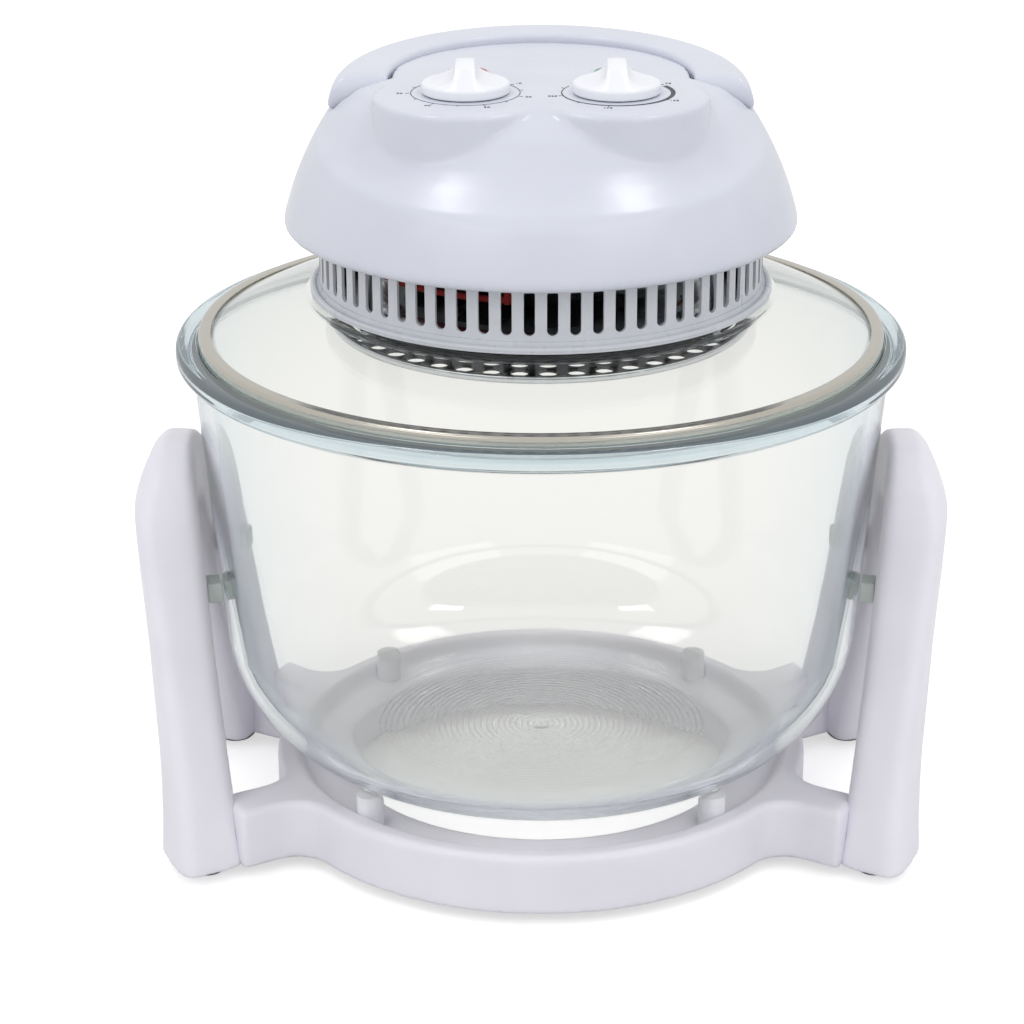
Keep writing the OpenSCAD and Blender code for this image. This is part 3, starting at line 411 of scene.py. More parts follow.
@dataclass(frozen=True)
class MouldedPlastic(Finish):
    """Injection-moulded plastic: an even colour, a soft gloss and a faint skin texture from the mould.

    Attributes:
        colour: Colour of the plastic.
        shade: Slightly darker colour of its flow marks.
        roughness: Middle roughness of the skin.
        grain: Width of a pore of the skin, in millimetres.
        relief: Depth of the skin's texture, in millimetres.
    """

    colour: str
    shade: str
    roughness: float = 0.28
    grain: float = 1.1
    relief: float = 0.006

    def fill(self, tree: Tree, output: Node) -> None:
        """Builds the plastic, duller in blotches where hands have been."""
        flow = self.spread(tree, self.noise(tree, 38.0), 0.0, 1.0)
        skin = self.noise(tree, self.grain, 1.0)
        low, high = self.roughness - 0.04, self.roughness + 0.05
        self.surface(
            tree,
            output,
            Base_Color=self.blend(tree, flow, self.colour, self.shade),
            Roughness=self.spread(tree, self.noise(tree, 14.0, 3.0), low, high),
            IOR=1.5,
            Normal=self.bump(tree, skin, self.relief),
        )


@dataclass(frozen=True)
class ClearGlass(Finish):
    """Pressed and tempered glass: clear on the flat, blue-green where one looks along it, faintly wavy.

    Attributes:
        clear: Colour on the flat.
        tint: Colour where one looks along it.
        wave: Width of the faint waves, in millimetres.
        relief: Height of the waves, in millimetres.
        ior: Index of refraction.
        ring_r: Radius of the patch of frosted rings, in millimetres, or 0 for none.
        ring_pitch: Distance of the rings, in millimetres.
        ring_top: Height below which the rings show, in millimetres.
        ring_rough: Roughness on the rings' crests.
        bead_z: Height above which the bead starts, in millimetres, or 0 for none.
        bead_fade: Height over which the bead's colour comes in, in millimetres.
        bead: Colour of the bead, which shows the glass edge-on.
        bead_milk: Share of the bead's light that its colour holds back.
    """

    clear: str
    tint: str
    wave: float = 34.0
    relief: float = 0.05
    ior: float = 1.47
    ring_r: float = 0.0
    ring_pitch: float = 2.4
    ring_top: float = 34.0
    ring_rough: float = 0.55
    bead_z: float = 0.0
    bead_fade: float = 1.5
    bead: str = "#cadee6"
    bead_milk: float = 0.2

    def frosting(self, tree: Tree) -> Socket:
        """Returns 1 on the crests of the rings, fading to 0 between them and outside the patch."""
        x, y, z = self.axes(tree)
        radius = self.off_axis(tree, x, y)
        wave = calc(tree, "SINE", calc(tree, "MULTIPLY", radius, FULL_TURN * per_mm(self.ring_pitch)))
        grain = self.spread(tree, self.noise(tree, 2.2), 0.35, 1.0)
        crest = calc(tree, "MULTIPLY", ramp(tree, wave, 0.1, 0.9), grain)
        inside = calc(tree, "LESS_THAN", radius, self.ring_r * MM)
        low = calc(tree, "LESS_THAN", z, self.ring_top * MM)
        return calc(tree, "MULTIPLY", crest, calc(tree, "MULTIPLY", inside, low))

    def fill(self, tree: Tree, output: Node) -> None:
        """Builds the glass, its frosted rings and its bead."""
        wave = self.noise(tree, self.wave, 1.0)
        rough = self.spread(tree, self.noise(tree, 22.0, 4.0), 0.0, 0.012)
        along = add_node(tree, "ShaderNodeLayerWeight", Blend=0.5).outputs["Facing"]
        colour = self.blend(tree, calc(tree, "POWER", along, 3.0), self.clear, self.tint)
        passed = 1.0
        if self.ring_r > 0:
            frost = calc(tree, "MULTIPLY", self.frosting(tree), self.ring_rough)
            rough = calc(tree, "MAXIMUM", rough, frost)
        if self.bead_z > 0:
            start, end = self.bead_z * MM, (self.bead_z + self.bead_fade) * MM
            edge_on = ramp(tree, self.axes(tree)[2], start, end)
            colour = self.blend(tree, edge_on, colour, self.bead)
            passed = calc(tree, "SUBTRACT", 1.0, calc(tree, "MULTIPLY", edge_on, self.bead_milk))
        shader = add_node(
            tree,
            "ShaderNodeBsdfPrincipled",
            Base_Color=colour,
            Roughness=rough,
            IOR=self.ior,
            Transmission_Weight=passed,
            Normal=self.bump(tree, wave, self.relief),
        ).outputs[0]
        # Lamp light passes nearly unhindered, where a renderer would give the glass a solid shadow
        through = add_node(tree, "ShaderNodeBsdfTransparent", Color=(0.985, 0.985, 0.985, 1.0)).outputs[0]
        shadow = add_node(tree, "ShaderNodeLightPath").outputs["Is Shadow Ray"]
        both = add_node(tree, "ShaderNodeMixShader", _0=shadow, _1=shader, _2=through)
        tree.links.new(both.outputs[0], output.inputs["Surface"])


@dataclass(frozen=True)
class WorkedMetal(Finish):
    """Bare or plated metal with the fine lines that its making left.

    Attributes:
        colour: Colour of the metal's reflection.
        worked: Whether the lines run round the axis or along the sheet.
        roughness: Middle roughness.
        line: Distance of the lines, in millimetres, coarser than real so that they show.
        relief: Depth of the lines, in millimetres.
        stretch: Length of a line along the sheet, as how much slower the noise runs that way.
    """

    colour: str
    worked: Turned
    roughness: float = 0.25
    line: float = 0.35
    relief: float = 0.004
    stretch: float = 0.03

    def lines(self, tree: Tree) -> Socket:
        """Returns a noise value drawn out along the way in which the metal was worked."""
        x, y, z = self.axes(tree)
        if self.worked is Turned.SPUN:
            inputs = {"X": self.off_axis(tree, x, y), "Y": z}
        else:
            inputs = {"X": calc(tree, "MULTIPLY", x, self.stretch), "Y": y, "Z": z}
        along = add_node(tree, "ShaderNodeCombineXYZ", **inputs).outputs[0]
        made = add_node(tree, "ShaderNodeTexNoise", Vector=along, Scale=per_mm(self.line), Detail=2.0)
        return made.outputs["Fac"]

    def fill(self, tree: Tree, output: Node) -> None:
        """Builds the metal, with stains in its gloss."""
        stain = self.spread(tree, self.noise(tree, 11.0, 3.0), self.roughness * 0.75, self.roughness * 1.3)
        self.surface(
            tree,
            output,
            Base_Color=srgb(self.colour),
            Metallic=1.0,
            Roughness=stain,
            Normal=self.bump(tree, self.lines(tree), self.relief),
        )


@dataclass(frozen=True)
class StovePaint(Finish):
    """Baked paint on sheet steel: level colour, orange peel of about a millimetre, a little chalk.

    Attributes:
        colour: Colour of the paint.
        shade: Colour where heat has dulled it.
        roughness: Middle roughness.
        peel: Width of the orange peel, in millimetres.
        relief: Height of the orange peel, in millimetres.
    """

    colour: str
    shade: str
    roughness: float = 0.32
    peel: float = 0.9
    relief: float = 0.012

    def fill(self, tree: Tree, output: Node) -> None:
        """Builds the paint, chalky in blotches."""
        heat = self.spread(tree, self.noise(tree, 17.0, 3.0), 0.0, 1.0)
        low, high = self.roughness - 0.05, self.roughness + 0.08
        self.surface(
            tree,
            output,
            Base_Color=self.blend(tree, heat, self.colour, self.shade),
            Roughness=self.spread(tree, self.noise(tree, 6.0, 3.0), low, high),
            IOR=1.5,
            Normal=self.bump(tree, self.noise(tree, self.peel, 1.5), self.relief),
        )


@dataclass(frozen=True)
class SoftRubber(Finish):
    """Moulded rubber or silicone: matt, with a fine mealy skin and dust in it.

    Attributes:
        colour: Colour of the rubber.
        dust: Colour of the dust that lies in the skin.
        grain: Width of the skin's grain, in millimetres.
        relief: Depth of the skin's grain, in millimetres.
    """

    colour: str
    dust: str
    grain: float = 0.5
    relief: float = 0.02

    def fill(self, tree: Tree, output: Node) -> None:
        """Builds the rubber."""
        dusty = self.spread(tree, self.noise(tree, 4.0, 5.0), 0.0, 1.0)
        self.surface(
            tree,
            output,
            Base_Color=self.blend(tree, dusty, self.colour, self.dust),
            Roughness=0.72,
            IOR=1.5,
            Normal=self.bump(tree, self.noise(tree, self.grain), self.relief),
        )


@dataclass(frozen=True)
class TintedLens(Finish):
    """Clear acrylic dyed in the mass, moulded with low rings that spread the light of a small lamp.

    Attributes:
        colour: Colour of the dye.
        deep: Colour where it is thickest.
        centre: X and Y of the lens's axis, in millimetres.
        ring: Distance of the rings, in millimetres.
        relief: Height of the rings, in millimetres.
    """

    colour: str
    deep: str
    centre: tuple[float, float]
    ring: float = 8.17
    relief: float = 0.08

    def fill(self, tree: Tree, output: Node) -> None:
        """Builds the acrylic. The wave texture's phase is 20 times its scale times the distance."""
        x, y = self.centre
        back = (-x * MM, -y * MM, 0.0)
        moved = add_node(tree, "ShaderNodeMapping", Vector=self.place(tree), Location=back)
        rings = add_node(
            tree,
            "ShaderNodeTexWave",
            {"wave_type": "RINGS", "rings_direction": "Z"},
            Vector=moved.outputs[0],
            Scale=per_mm(self.ring) * FULL_TURN / 20,
        ).outputs["Fac"]
        self.surface(
            tree,
            output,
            Base_Color=self.blend(tree, rings, self.colour, self.deep),
            Roughness=0.12,
            IOR=1.49,
            Transmission_Weight=0.35,
            Normal=self.bump(tree, rings, self.relief),
        )


@dataclass(frozen=True)
class FiredCeramic(Finish):
    """Steatite, pressed and fired: warm white, matt, a little sandy.

    Attributes:
        colour: Colour of the body.
        speck: Colour of its specks.
        relief: Depth of its grain, in millimetres.
    """

    colour: str = "#f0ece2"
    speck: str = "#d9d2c2"
    relief: float = 0.015

    def fill(self, tree: Tree, output: Node) -> None:
        """Builds the ceramic."""
        specks = self.spread(tree, self.noise(tree, 0.8, 3.0), 0.0, 1.0)
        self.surface(
            tree,
            output,
            Base_Color=self.blend(tree, specks, self.colour, self.speck),
            Roughness=0.6,
            IOR=1.55,
            Normal=self.bump(tree, self.noise(tree, 0.4), self.relief),
        )


# White plastic of the head: gloss, with a faint lilac cast
HEAD_PLASTIC = MouldedPlastic("gloss_white_abs", "#d5d8e3", "#d0d3df", 0.22)
# The stand's plastic: the same white, a little warmer and duller
STAND_PLASTIC = MouldedPlastic("satin_white_pp", "#eeecf4", "#e8e6f0", 0.34, 1.4, 0.008)
# Knobs: the whitest plastic, polished by fingers
KNOB_PLASTIC = MouldedPlastic("polished_white_abs", "#f1f2f8", "#e9ebf2", 0.2, 0.9, 0.003)
DARK_PLASTIC = MouldedPlastic("black_pbt", "#2b2d31", "#232529", 0.48, 0.6, 0.01)
RED_PLASTIC = MouldedPlastic("red_pom", "#c23b2e", "#b03226", 0.4, 0.6, 0.004)
# Screen-printed ink of the dial marks: dull dark grey, slightly uneven cover
DIAL_INK = MouldedPlastic("dial_ink", "#3b3c46", "#4a4b55", 0.55, 0.3, 0.002)
# Bowl and lid: heat-proof glass with a blue-green edge
BOWL_GLASS = ClearGlass("borosilicate_bowl", "#fdfdfb", "#aecddc", ring_r=66.0, bead_z=194.6)
LID_GLASS = ClearGlass("tempered_lid_pane", "#fdfdfa", "#c4d4d3", 50.0, 0.02, 1.5)
QUARTZ = ClearGlass("quartz_tube", "#faf9f4", "#c9c6bb", 9.0, 0.01, 1.46)
# Stainless band of the lid: spun and bright
BAND_STEEL = WorkedMetal("stainless_band", "#c4c0b6", Turned.SPUN, 0.2, 0.3, 0.003)
REFLECTOR_METAL = WorkedMetal("spun_aluminium", "#dcdee0", Turned.SPUN, 0.18, 0.8, 0.01)
RIM_CHROME = WorkedMetal("chromed_rim", "#d2d4d7", Turned.SPUN, 0.1, 0.9, 0.002)
SHEET_STEEL = WorkedMetal("zinc_coated_sheet", "#a9adb3", Turned.ROLLED, 0.38, 0.8, 0.006)
SCREW_ZINC = WorkedMetal("bright_zinc_plate", "#bcc0c6", Turned.ROLLED, 0.3, 0.4, 0.004)
MOTOR_STEEL = WorkedMetal("motor_laminations", "#858a91", Turned.ROLLED, 0.45, 0.5, 0.03)
COPPER_TUBE = WorkedMetal("drawn_copper", "#c98a5c", Turned.ROLLED, 0.28, 0.3, 0.003)
COIL_METAL = WorkedMetal("tungsten_coil", "#8f8a84", Turned.SPUN, 0.5, 0.5, 0.12)
# Light grey heat-proof paint on the slotted collar
COLLAR_PAINT = StovePaint("grey_stove_paint", "#d6d9df", "#ced1d8", 0.3)
# Black vitreous enamel on the perforated guard
GUARD_ENAMEL = StovePaint("black_enamel", "#1f2123", "#2b2c2d", 0.22, 1.2, 0.02)
PAD_RUBBER = SoftRubber("clouded_silicone", "#f2f2f6", "#e9eaef")
SIDE_RUBBER = SoftRubber("grey_green_rubber", "#c6d1cc", "#d0d8d4")
FOOT_RUBBER = SoftRubber("dark_rubber", "#55585b", "#67696c")
GASKET_RUBBER = SoftRubber("black_silicone", "#2c2e2f", "#3b3d3e")
WIRE_SLEEVE = SoftRubber("red_silicone_sleeve", "#b5322a", "#9c2a24", 0.8)
LAMP_CERAMIC = FiredCeramic("steatite")

LENS_NODES = {Side.LEFT: "red_lens", Side.RIGHT: "green_lens"}
LENS_DYES = {Side.LEFT: ("#e0243f", "#a81030"), Side.RIGHT: ("#14a37c", "#0a7a5a")}
KNOB_NODES = {Side.LEFT: "timer_knob", Side.RIGHT: "thermostat_knob"}

NODE_FINISHES: dict[str, Finish] = {
    "stand_screws": SCREW_ZINC,
    "stand_feet": FOOT_RUBBER,
    "vent_collar": COLLAR_PAINT,
    "reflector": REFLECTOR_METAL,
    "halogen_tube": QUARTZ,
    "filament": COIL_METAL,
    "lamp_holders": LAMP_CERAMIC,
    "lamp_clips": SCREW_ZINC,
    "mounting_plate": SHEET_STEEL,
    "motor": MOTOR_STEEL,
    "lamp_wires": WIRE_SLEEVE,
    "head_screws": SCREW_ZINC,
    "timer_unit": SHEET_STEEL,
    "thermostat_unit": SHEET_STEEL,
    "thermostat_bulb": COPPER_TUBE,
    "microswitch": DARK_PLASTIC,
    "handle_pins": SCREW_ZINC,
    "cord_gland": DARK_PLASTIC,
    "switch_plunger": RED_PLASTIC,
    "timer_spindle": SCREW_ZINC,
    "thermostat_spindle": SCREW_ZINC,
    "motor_shaft": SCREW_ZINC,
    "cooling_fan": DARK_PLASTIC,
    "convection_fan": SHEET_STEEL,
    "fan_nut": SCREW_ZINC,
}


def dress(piece: Piece, finish: Finish) -> None:
    """Gives a piece or a CAD node one finish all over."""
    material = finish.material()
    slots = piece.data.materials
    if not slots:
        slots.append(material)
    for i in range(len(slots)):
        slots[i] = material


def dress_cad_nodes() -> None:
    """Gives every CAD node that stays in view its finish."""
    for node, finish in NODE_FINISHES.items():
        dress(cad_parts[node], finish)
        log.info("node  %-22s %s", node, finish.name)


# ---------------------------------------------------------------------- assemblies


@dataclass
class Assembly:
    """A group of pieces that rides on one CAD body.

    Attributes:
        body: The CAD body.
    """

    body: str

    def keep(self, piece: Piece, finish: Finish, slot: str) -> Piece:
        """Dresses a piece and ties it to the body.

        Args:
            piece: The finished piece.
            finish: Its finish.
            slot: The record's material slot that it belongs to; it is not used.

        Returns:
            The same piece.
        """
        dress(piece, finish)
        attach(piece, self.body)
        report(piece)
        return piece

    def build(self) -> None:
        """Builds and dresses the assembly's pieces."""
        raise NotImplementedError


@dataclass
class Stand(Assembly):
    """The moulded stand: a ring on four legs and a side frame at each side.

    Attributes:
        grid: Grid of the softened surfaces, in millimetres.
        leg_root: Radius from which a leg is drawn out, in millimetres.
        leg_reach: How far a leg's end goes into the side frame, in millimetres.
        brow: Height of the sloped shoulder on a side frame's crossbar, in millimetres.
        bar_r: Radius of the crossbar's inner side, which stays as it is, in millimetres.
        shoulder: Share of the crossbar's thickness that the slope takes away at the top.
        bend: Power by which the slope grows towards the top.
        pad_top: Height to which the pads under the bowl rise above the ledge, in millimetres.
        pad_share: Height of those pads as a share of the CAD's.
        side_drop: How far the side pads sit below the frames' own sockets, in millimetres.
        side_in: How far the side pads are drawn in towards the bowl, in millimetres.
        side_share: Height of the side pads as a share of the CAD's.
    """

    body: str = "stand"
    grid: float = 1.3
    leg_root: float = 118.0
    leg_reach: float = 3.0
    brow: float = 26.0
    bar_r: float = 134.5
    shoulder: float = 0.42
    bend: float = 1.4
    pad_top: float = 13.5
    pad_share: float = 0.86
    side_drop: float = 5.0
    side_in: float = 0.4
    side_share: float = 0.8

    def grip_rule(self) -> Callable[[float, float, float], tuple]:
        """Returns the rule that slopes the outer side of a crossbar in towards its top."""
        start = levels("side_frame_right")[1] - self.brow

        def rule(r: float, angle: float, z: float) -> tuple[float, float, float]:
            share = max(0.0, (z - start) / self.brow) ** self.bend * self.shoulder
            return (r if r < self.bar_r else self.bar_r + (r - self.bar_r) * (1 - share)), angle, z

        return rule

    def build(self) -> None:
        """Builds the ring, the two side frames and the pads."""
        ring = softened("stand_ring", "base_ring", self.grid, 2)
        tip = max(math.hypot(v.co.x, v.co.y) for v in ring.data.vertices) / MM
        reshaped(ring, lambda r, a, z: (r + self.leg_reach * eased(r, self.leg_root, tip), a, z))
        self.keep(ring, STAND_PLASTIC, "stand_plastic")
        for side in Side:
            word = side.name.lower()
            grip = softened(f"{word}_grip", f"side_frame_{word}", self.grid, 3)
            self.keep(reshaped(grip, self.grip_rule()), STAND_PLASTIC, "frame_plastic")
        self.pads()

    def pads(self) -> None:
        """Builds the soft pads under and beside the bowl."""
        low = levels("bowl_pads")[0]
        under = softened("bowl_cushions", "bowl_pads", 0.6, 4)
        reshaped(under, lambda r, a, z: (r, a, min(z, low + (z - low) * self.pad_share, low + self.pad_top)))
        self.keep(under, PAD_RUBBER, "pad_rubber")
        middle = sum(levels("side_pads")) / 2
        centre = middle - self.side_drop
        beside = softened("side_cushions", "side_pads", 0.5, 3)
        reshaped(beside, lambda r, a, z: (r - self.side_in, a, centre + (z - middle) * self.side_share))
        self.keep(beside, SIDE_RUBBER, "pad_rubber")


@dataclass
class Bowl(Assembly):
    """The pressed glass bowl, with a bead round its rim and fine rings under its floor.

    Attributes:
        wall: Thickness of the glass, in millimetres.
        draft: Lean of the wall, in degrees.
        corner: Radius of the lower corner, in millimetres.
        bead: Radius of the bead, in millimetres.
        neck: Distance of the wall inside the bead, in millimetres.
        step_depth: Depth of the step that the lid sits in, in millimetres.
        step_r: Radius of that step, in millimetres.
        rings: Number of fine rings under the floor.
        ridge: Depth of a ring, in millimetres.
        flat_share: Share of the corner's radius that the rings stay inside the wall's foot.
    """

    body: str = "bowl"
    wall: float = 4.5
    draft: float = 4.9
    corner: float = 55.0
    bead: float = 3.5
    neck: float = 2.5
    step_depth: float = 2.4
    step_r: float = 132.0
    rings: int = 30
    ridge: float = 0.12
    flat_share: float = 0.93

    def outline(self) -> list[Vector]:
        """Returns the section of the glass, from the floor's middle out and back."""
        low, high = levels("bowl")
        under = high - 2 * self.bead
        rim = min(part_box("bowl")[1].xy) / MM
        top = rim - self.bead - self.neck
        slope = math.tan(math.radians(self.draft))
        foot = top - slope * (under - low)
        inside_top = top - self.wall - slope * self.step_depth
        inside_foot = foot - self.wall
        outer = rounded(
            [
                (0.0, low + self.wall, 0),
                (0.0, low, 0),
                (foot, low, self.corner),
                (top, under - 1.5, 2.5),
                (rim - 1.2, under, 1.0),
                (rim, under + 1.6, 1.2),
                (rim, high - 0.4, 2.6),
                (rim - self.bead, high, 1.5),
                (self.step_r, high - 0.3, 0.5),
                (self.step_r - 0.2, high - self.step_depth, 0.3),
                (inside_top, high - self.step_depth, 0.9),
                (inside_foot, low + self.wall, self.corner - self.wall),
            ],
            steps=14,
        )
        flat = (foot - self.corner * self.flat_share) * MM
        pitch = flat / self.rings
        ridges = []
        for i in range(2, self.rings):
            ridges.append(Vector((i * pitch, 0, low * MM)))
            ridges.append(Vector(((i + 0.5) * pitch, 0, (low + self.ridge) * MM)))
        return outer[:2] + ridges + outer[2:]

    def build(self) -> None:
        """Builds the bowl."""
        piece = spun("glass_bowl", self.outline(), 256)
        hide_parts("bowl")
        self.keep(piece, BOWL_GLASS, "bowl_glass")


@dataclass
class Lid(Assembly):
    """The glass lid with its stainless band, and what hangs under its hole.

    Attributes:
        pane: Thickness of the glass, in millimetres.
        band_wide: Width of the band, in millimetres.
        sheet: Thickness of the band's steel, in millimetres.
        brow: Radius at which the dome starts, in millimetres.
        hole_r: Radius of the pane's hole, in millimetres.
        seal_lip: Thickness of the seal's lips, in millimetres.
        guard_r: Radius of the perforated guard plate, in millimetres.
        guard_drop: How far it sits below the CAD plate, in millimetres.
        guard_sheet: Its thickness, in millimetres.
        guard_hole: Diameter of its holes, in millimetres.
        guard_pitch: Distance of the rows of holes, in millimetres.
        guard_web: How much further apart than the rows the holes of a row are at least, in millimetres.
        guard_hub: Least radius of the middle without holes, in millimetres.
        hub_sides: Number of sides of that middle.
    """

    body: str = "lid"
    pane: float = 3.5
    band_wide: float = 4.5
    sheet: float = 0.8
    brow: float = 88.0
    hole_r: float = 80.5
    seal_lip: float = 0.9
    guard_r: float = 78.5
    guard_drop: float = 4.5
    guard_sheet: float = 1.0
    guard_hole: float = 7.0
    guard_pitch: float = 9.6
    guard_web: float = 0.6
    guard_hub: float = 14.0
    hub_sides: int = 48

    def dome(self, r: float, edge: float, rise: float) -> float:
        """Returns the dome's height above its edge at radius r, for its outer radius and rise."""
        centre = (edge**2 - self.brow**2 - rise**2) / (2 * rise)
        return math.sqrt(edge**2 + centre**2 - r**2) - centre

    def pane_outline(self) -> list[Vector]:
        """Returns the section of the glass pane."""
        glass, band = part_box("lid_glass")[1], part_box("lid_band")[1]
        outer, hole = glass.x / MM, self.hole_r
        edge = band.x / MM - self.band_wide
        base = band.z / MM - self.sheet
        rise = glass.z / MM - base
        steps = 24
        upper = []
        for i in range(steps + 1):
            r = self.brow + (edge - self.brow) * i / steps
            upper.append((r, base + self.dome(r, edge, rise)))
        corners = [(hole, base + rise, 0.6)]
        corners += [(r, z, 0) for r, z in upper]
        corners += [(outer, base, 0.8), (outer, base - self.pane, 0.8)]
        corners += [(r, z - self.pane, 0) for r, z in reversed(upper)]
        corners += [(hole, base + rise - self.pane, 0.6)]
        return rounded(corners, 4)

    def band_outline(self) -> list[Vector]:
        """Returns the section of the steel band, folded round the glass's edge."""
        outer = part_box("lid_band")[1].x / MM
        bottom, top = levels("lid_band")
        inner = outer - self.band_wide
        under = top - self.sheet - self.pane
        return rounded(
            [
                (inner, bottom, 0.5),
                (outer, bottom, 1.3),
                (outer, top, 1.3),
                (inner - 0.3, top + 0.1, 0.3),
                (inner - 0.3, top - self.sheet + 0.3, 0.2),
                (outer - self.sheet, top - self.sheet, 0.5),
                (outer - self.sheet, under, 0.5),
                (inner, under, 0.3),
            ],
            6,
        )

    def plate(self) -> Piece:
        """Builds the guard plate: rows of round holes, each in its own cell of the sheet."""
        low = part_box("guard_plate")[0].z - self.guard_drop * MM
        work = bmesh.new()
        flat = []
        rows = int((self.guard_r - self.guard_hub) / self.guard_pitch)
        for row in range(rows):
            middle = self.guard_r - (row + 0.5) * self.guard_pitch
            cells = int(FULL_TURN * middle / (self.guard_pitch + self.guard_web))
            for cell in range(cells):
                turn = FULL_TURN * (cell + row % 2 / 2) / cells
                flat += self.cell(work, middle, turn, FULL_TURN * middle / cells)
        inner = self.guard_r - rows * self.guard_pitch
        hub = [work.verts.new(polar(inner, FULL_TURN * i / self.hub_sides)) for i in range(self.hub_sides)]
        flat.append(work.faces.new(hub))
        raised(work, flat, self.guard_sheet)
        bmesh.ops.translate(work, verts=work.verts, vec=(0, 0, low))
        return from_bmesh("guard_disc", work, smooth=False)

    def cell(self, work: Work, middle: float, turn: float, wide: float) -> list[Face]:
        """Adds one cell of the plate with its hole.

        Args:
            work: The bmesh that takes it.
            middle: Radius of the hole's middle, in millimetres.
            turn: Angle of the hole's middle, in radians.
            wide: Width of the cell round the axis, in millimetres.

        Returns:
            The cell's faces.
        """
        steps = 16
        half_u, half_v = wide / 2, self.guard_pitch / 2
        hole, edge = [], []
        for i in range(steps):
            angle = FULL_TURN * (i + 0.5) / steps
            u, v = math.cos(angle), math.sin(angle)
            reach = min(half_u / abs(u), half_v / abs(v))
            for radius, ring in ((self.guard_hole / 2, hole), (reach, edge)):
                ring.append(work.verts.new(polar(middle + v * radius, turn + u * radius / middle)))
        faces = []
        for i in range(steps):
            j = (i + 1) % steps
            faces.append(work.faces.new([hole[i], hole[j], edge[j], edge[i]]))
        for i in range(steps // 8, steps, steps // 4):
            angle = FULL_TURN * i / steps
            r = middle + math.copysign(half_v, math.sin(angle))
            corner = work.verts.new(polar(r, turn + math.copysign(half_u, math.cos(angle)) / middle))
            faces.append(work.faces.new([edge[i - 1], corner, edge[i]]))
        return faces

    def seal_outline(self) -> list[Vector]:
        """Returns the section of the seal: a web inside the hole, with a lip below and above the glass."""
        low, high = levels("lid_gasket")
        inner, web = self.hole_r - 1.0, self.hole_r + 0.1
        under, over = self.hole_r + 2.5, self.hole_r + 3.5
        return rounded(
            [
                (inner, low, 0.3),
                (under, low, 0.3),
                (under, low + self.seal_lip, 0.2),
                (web, low + self.seal_lip, 0),
                (web, high - self.seal_lip, 0),
                (over, high - self.seal_lip, 0.2),
                (over, high, 0.3),
                (inner, high, 0.3),
            ],
            4,
        )

    def underside(self) -> None:
        """Builds what shows through the pane below the collar: the seal, its ring, the plate and its rim."""
        seal = spun("pane_seal", self.seal_outline())
        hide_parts("lid_gasket")
        self.keep(seal, GASKET_RUBBER, "gasket_silicone")
        across = self.hole_r - 12.0, self.hole_r - 2.0
        ring = spun("seal_ring", bar_section(across, levels("clamp_ring"), (0.3, 0.3), 3))
        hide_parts("clamp_ring")
        self.keep(ring, SHEET_STEEL, "zinc_steel")
        plate = self.plate()
        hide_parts("guard_plate")
        self.keep(plate, GUARD_ENAMEL, "guard_enamel")
        base = levels("guard_plate")[0] - self.guard_drop
        across = self.guard_r - 0.3, self.guard_r + 1.5
        rim = spun("guard_roll", bar_section(across, (base - 1.2, base + 1.6), (0.4, 0.8), 6))
        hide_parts("guard_rim")
        self.keep(rim, RIM_CHROME, "rim_chrome")
        self.spacers(base + self.guard_sheet)

    def spacers(self, seat: float) -> None:
        """Builds the rods that hold the plate, with their lower ends drawn down to a seat in millimetres."""
        rods = placed("guard_spacers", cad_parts["tie_rods"].data.copy())
        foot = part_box("tie_rods")[0].z
        for vert in rods.data.vertices:
            if vert.co.z < foot + 0.5 * MM:
                vert.co.z = seat * MM
        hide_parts("tie_rods")
        self.keep(rods, SCREW_ZINC, "zinc_steel")

    def build(self) -> None:
        """Builds the pane, the band and the parts under the collar."""
        pane = spun("lid_pane", self.pane_outline(), 256)
        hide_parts("lid_glass")
        self.keep(pane, LID_GLASS, "lid_glass")
        band = spun("lid_steel_band", self.band_outline(), 256)
        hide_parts("lid_band")
        self.keep(band, BAND_STEEL, "band_steel")
        self.underside()


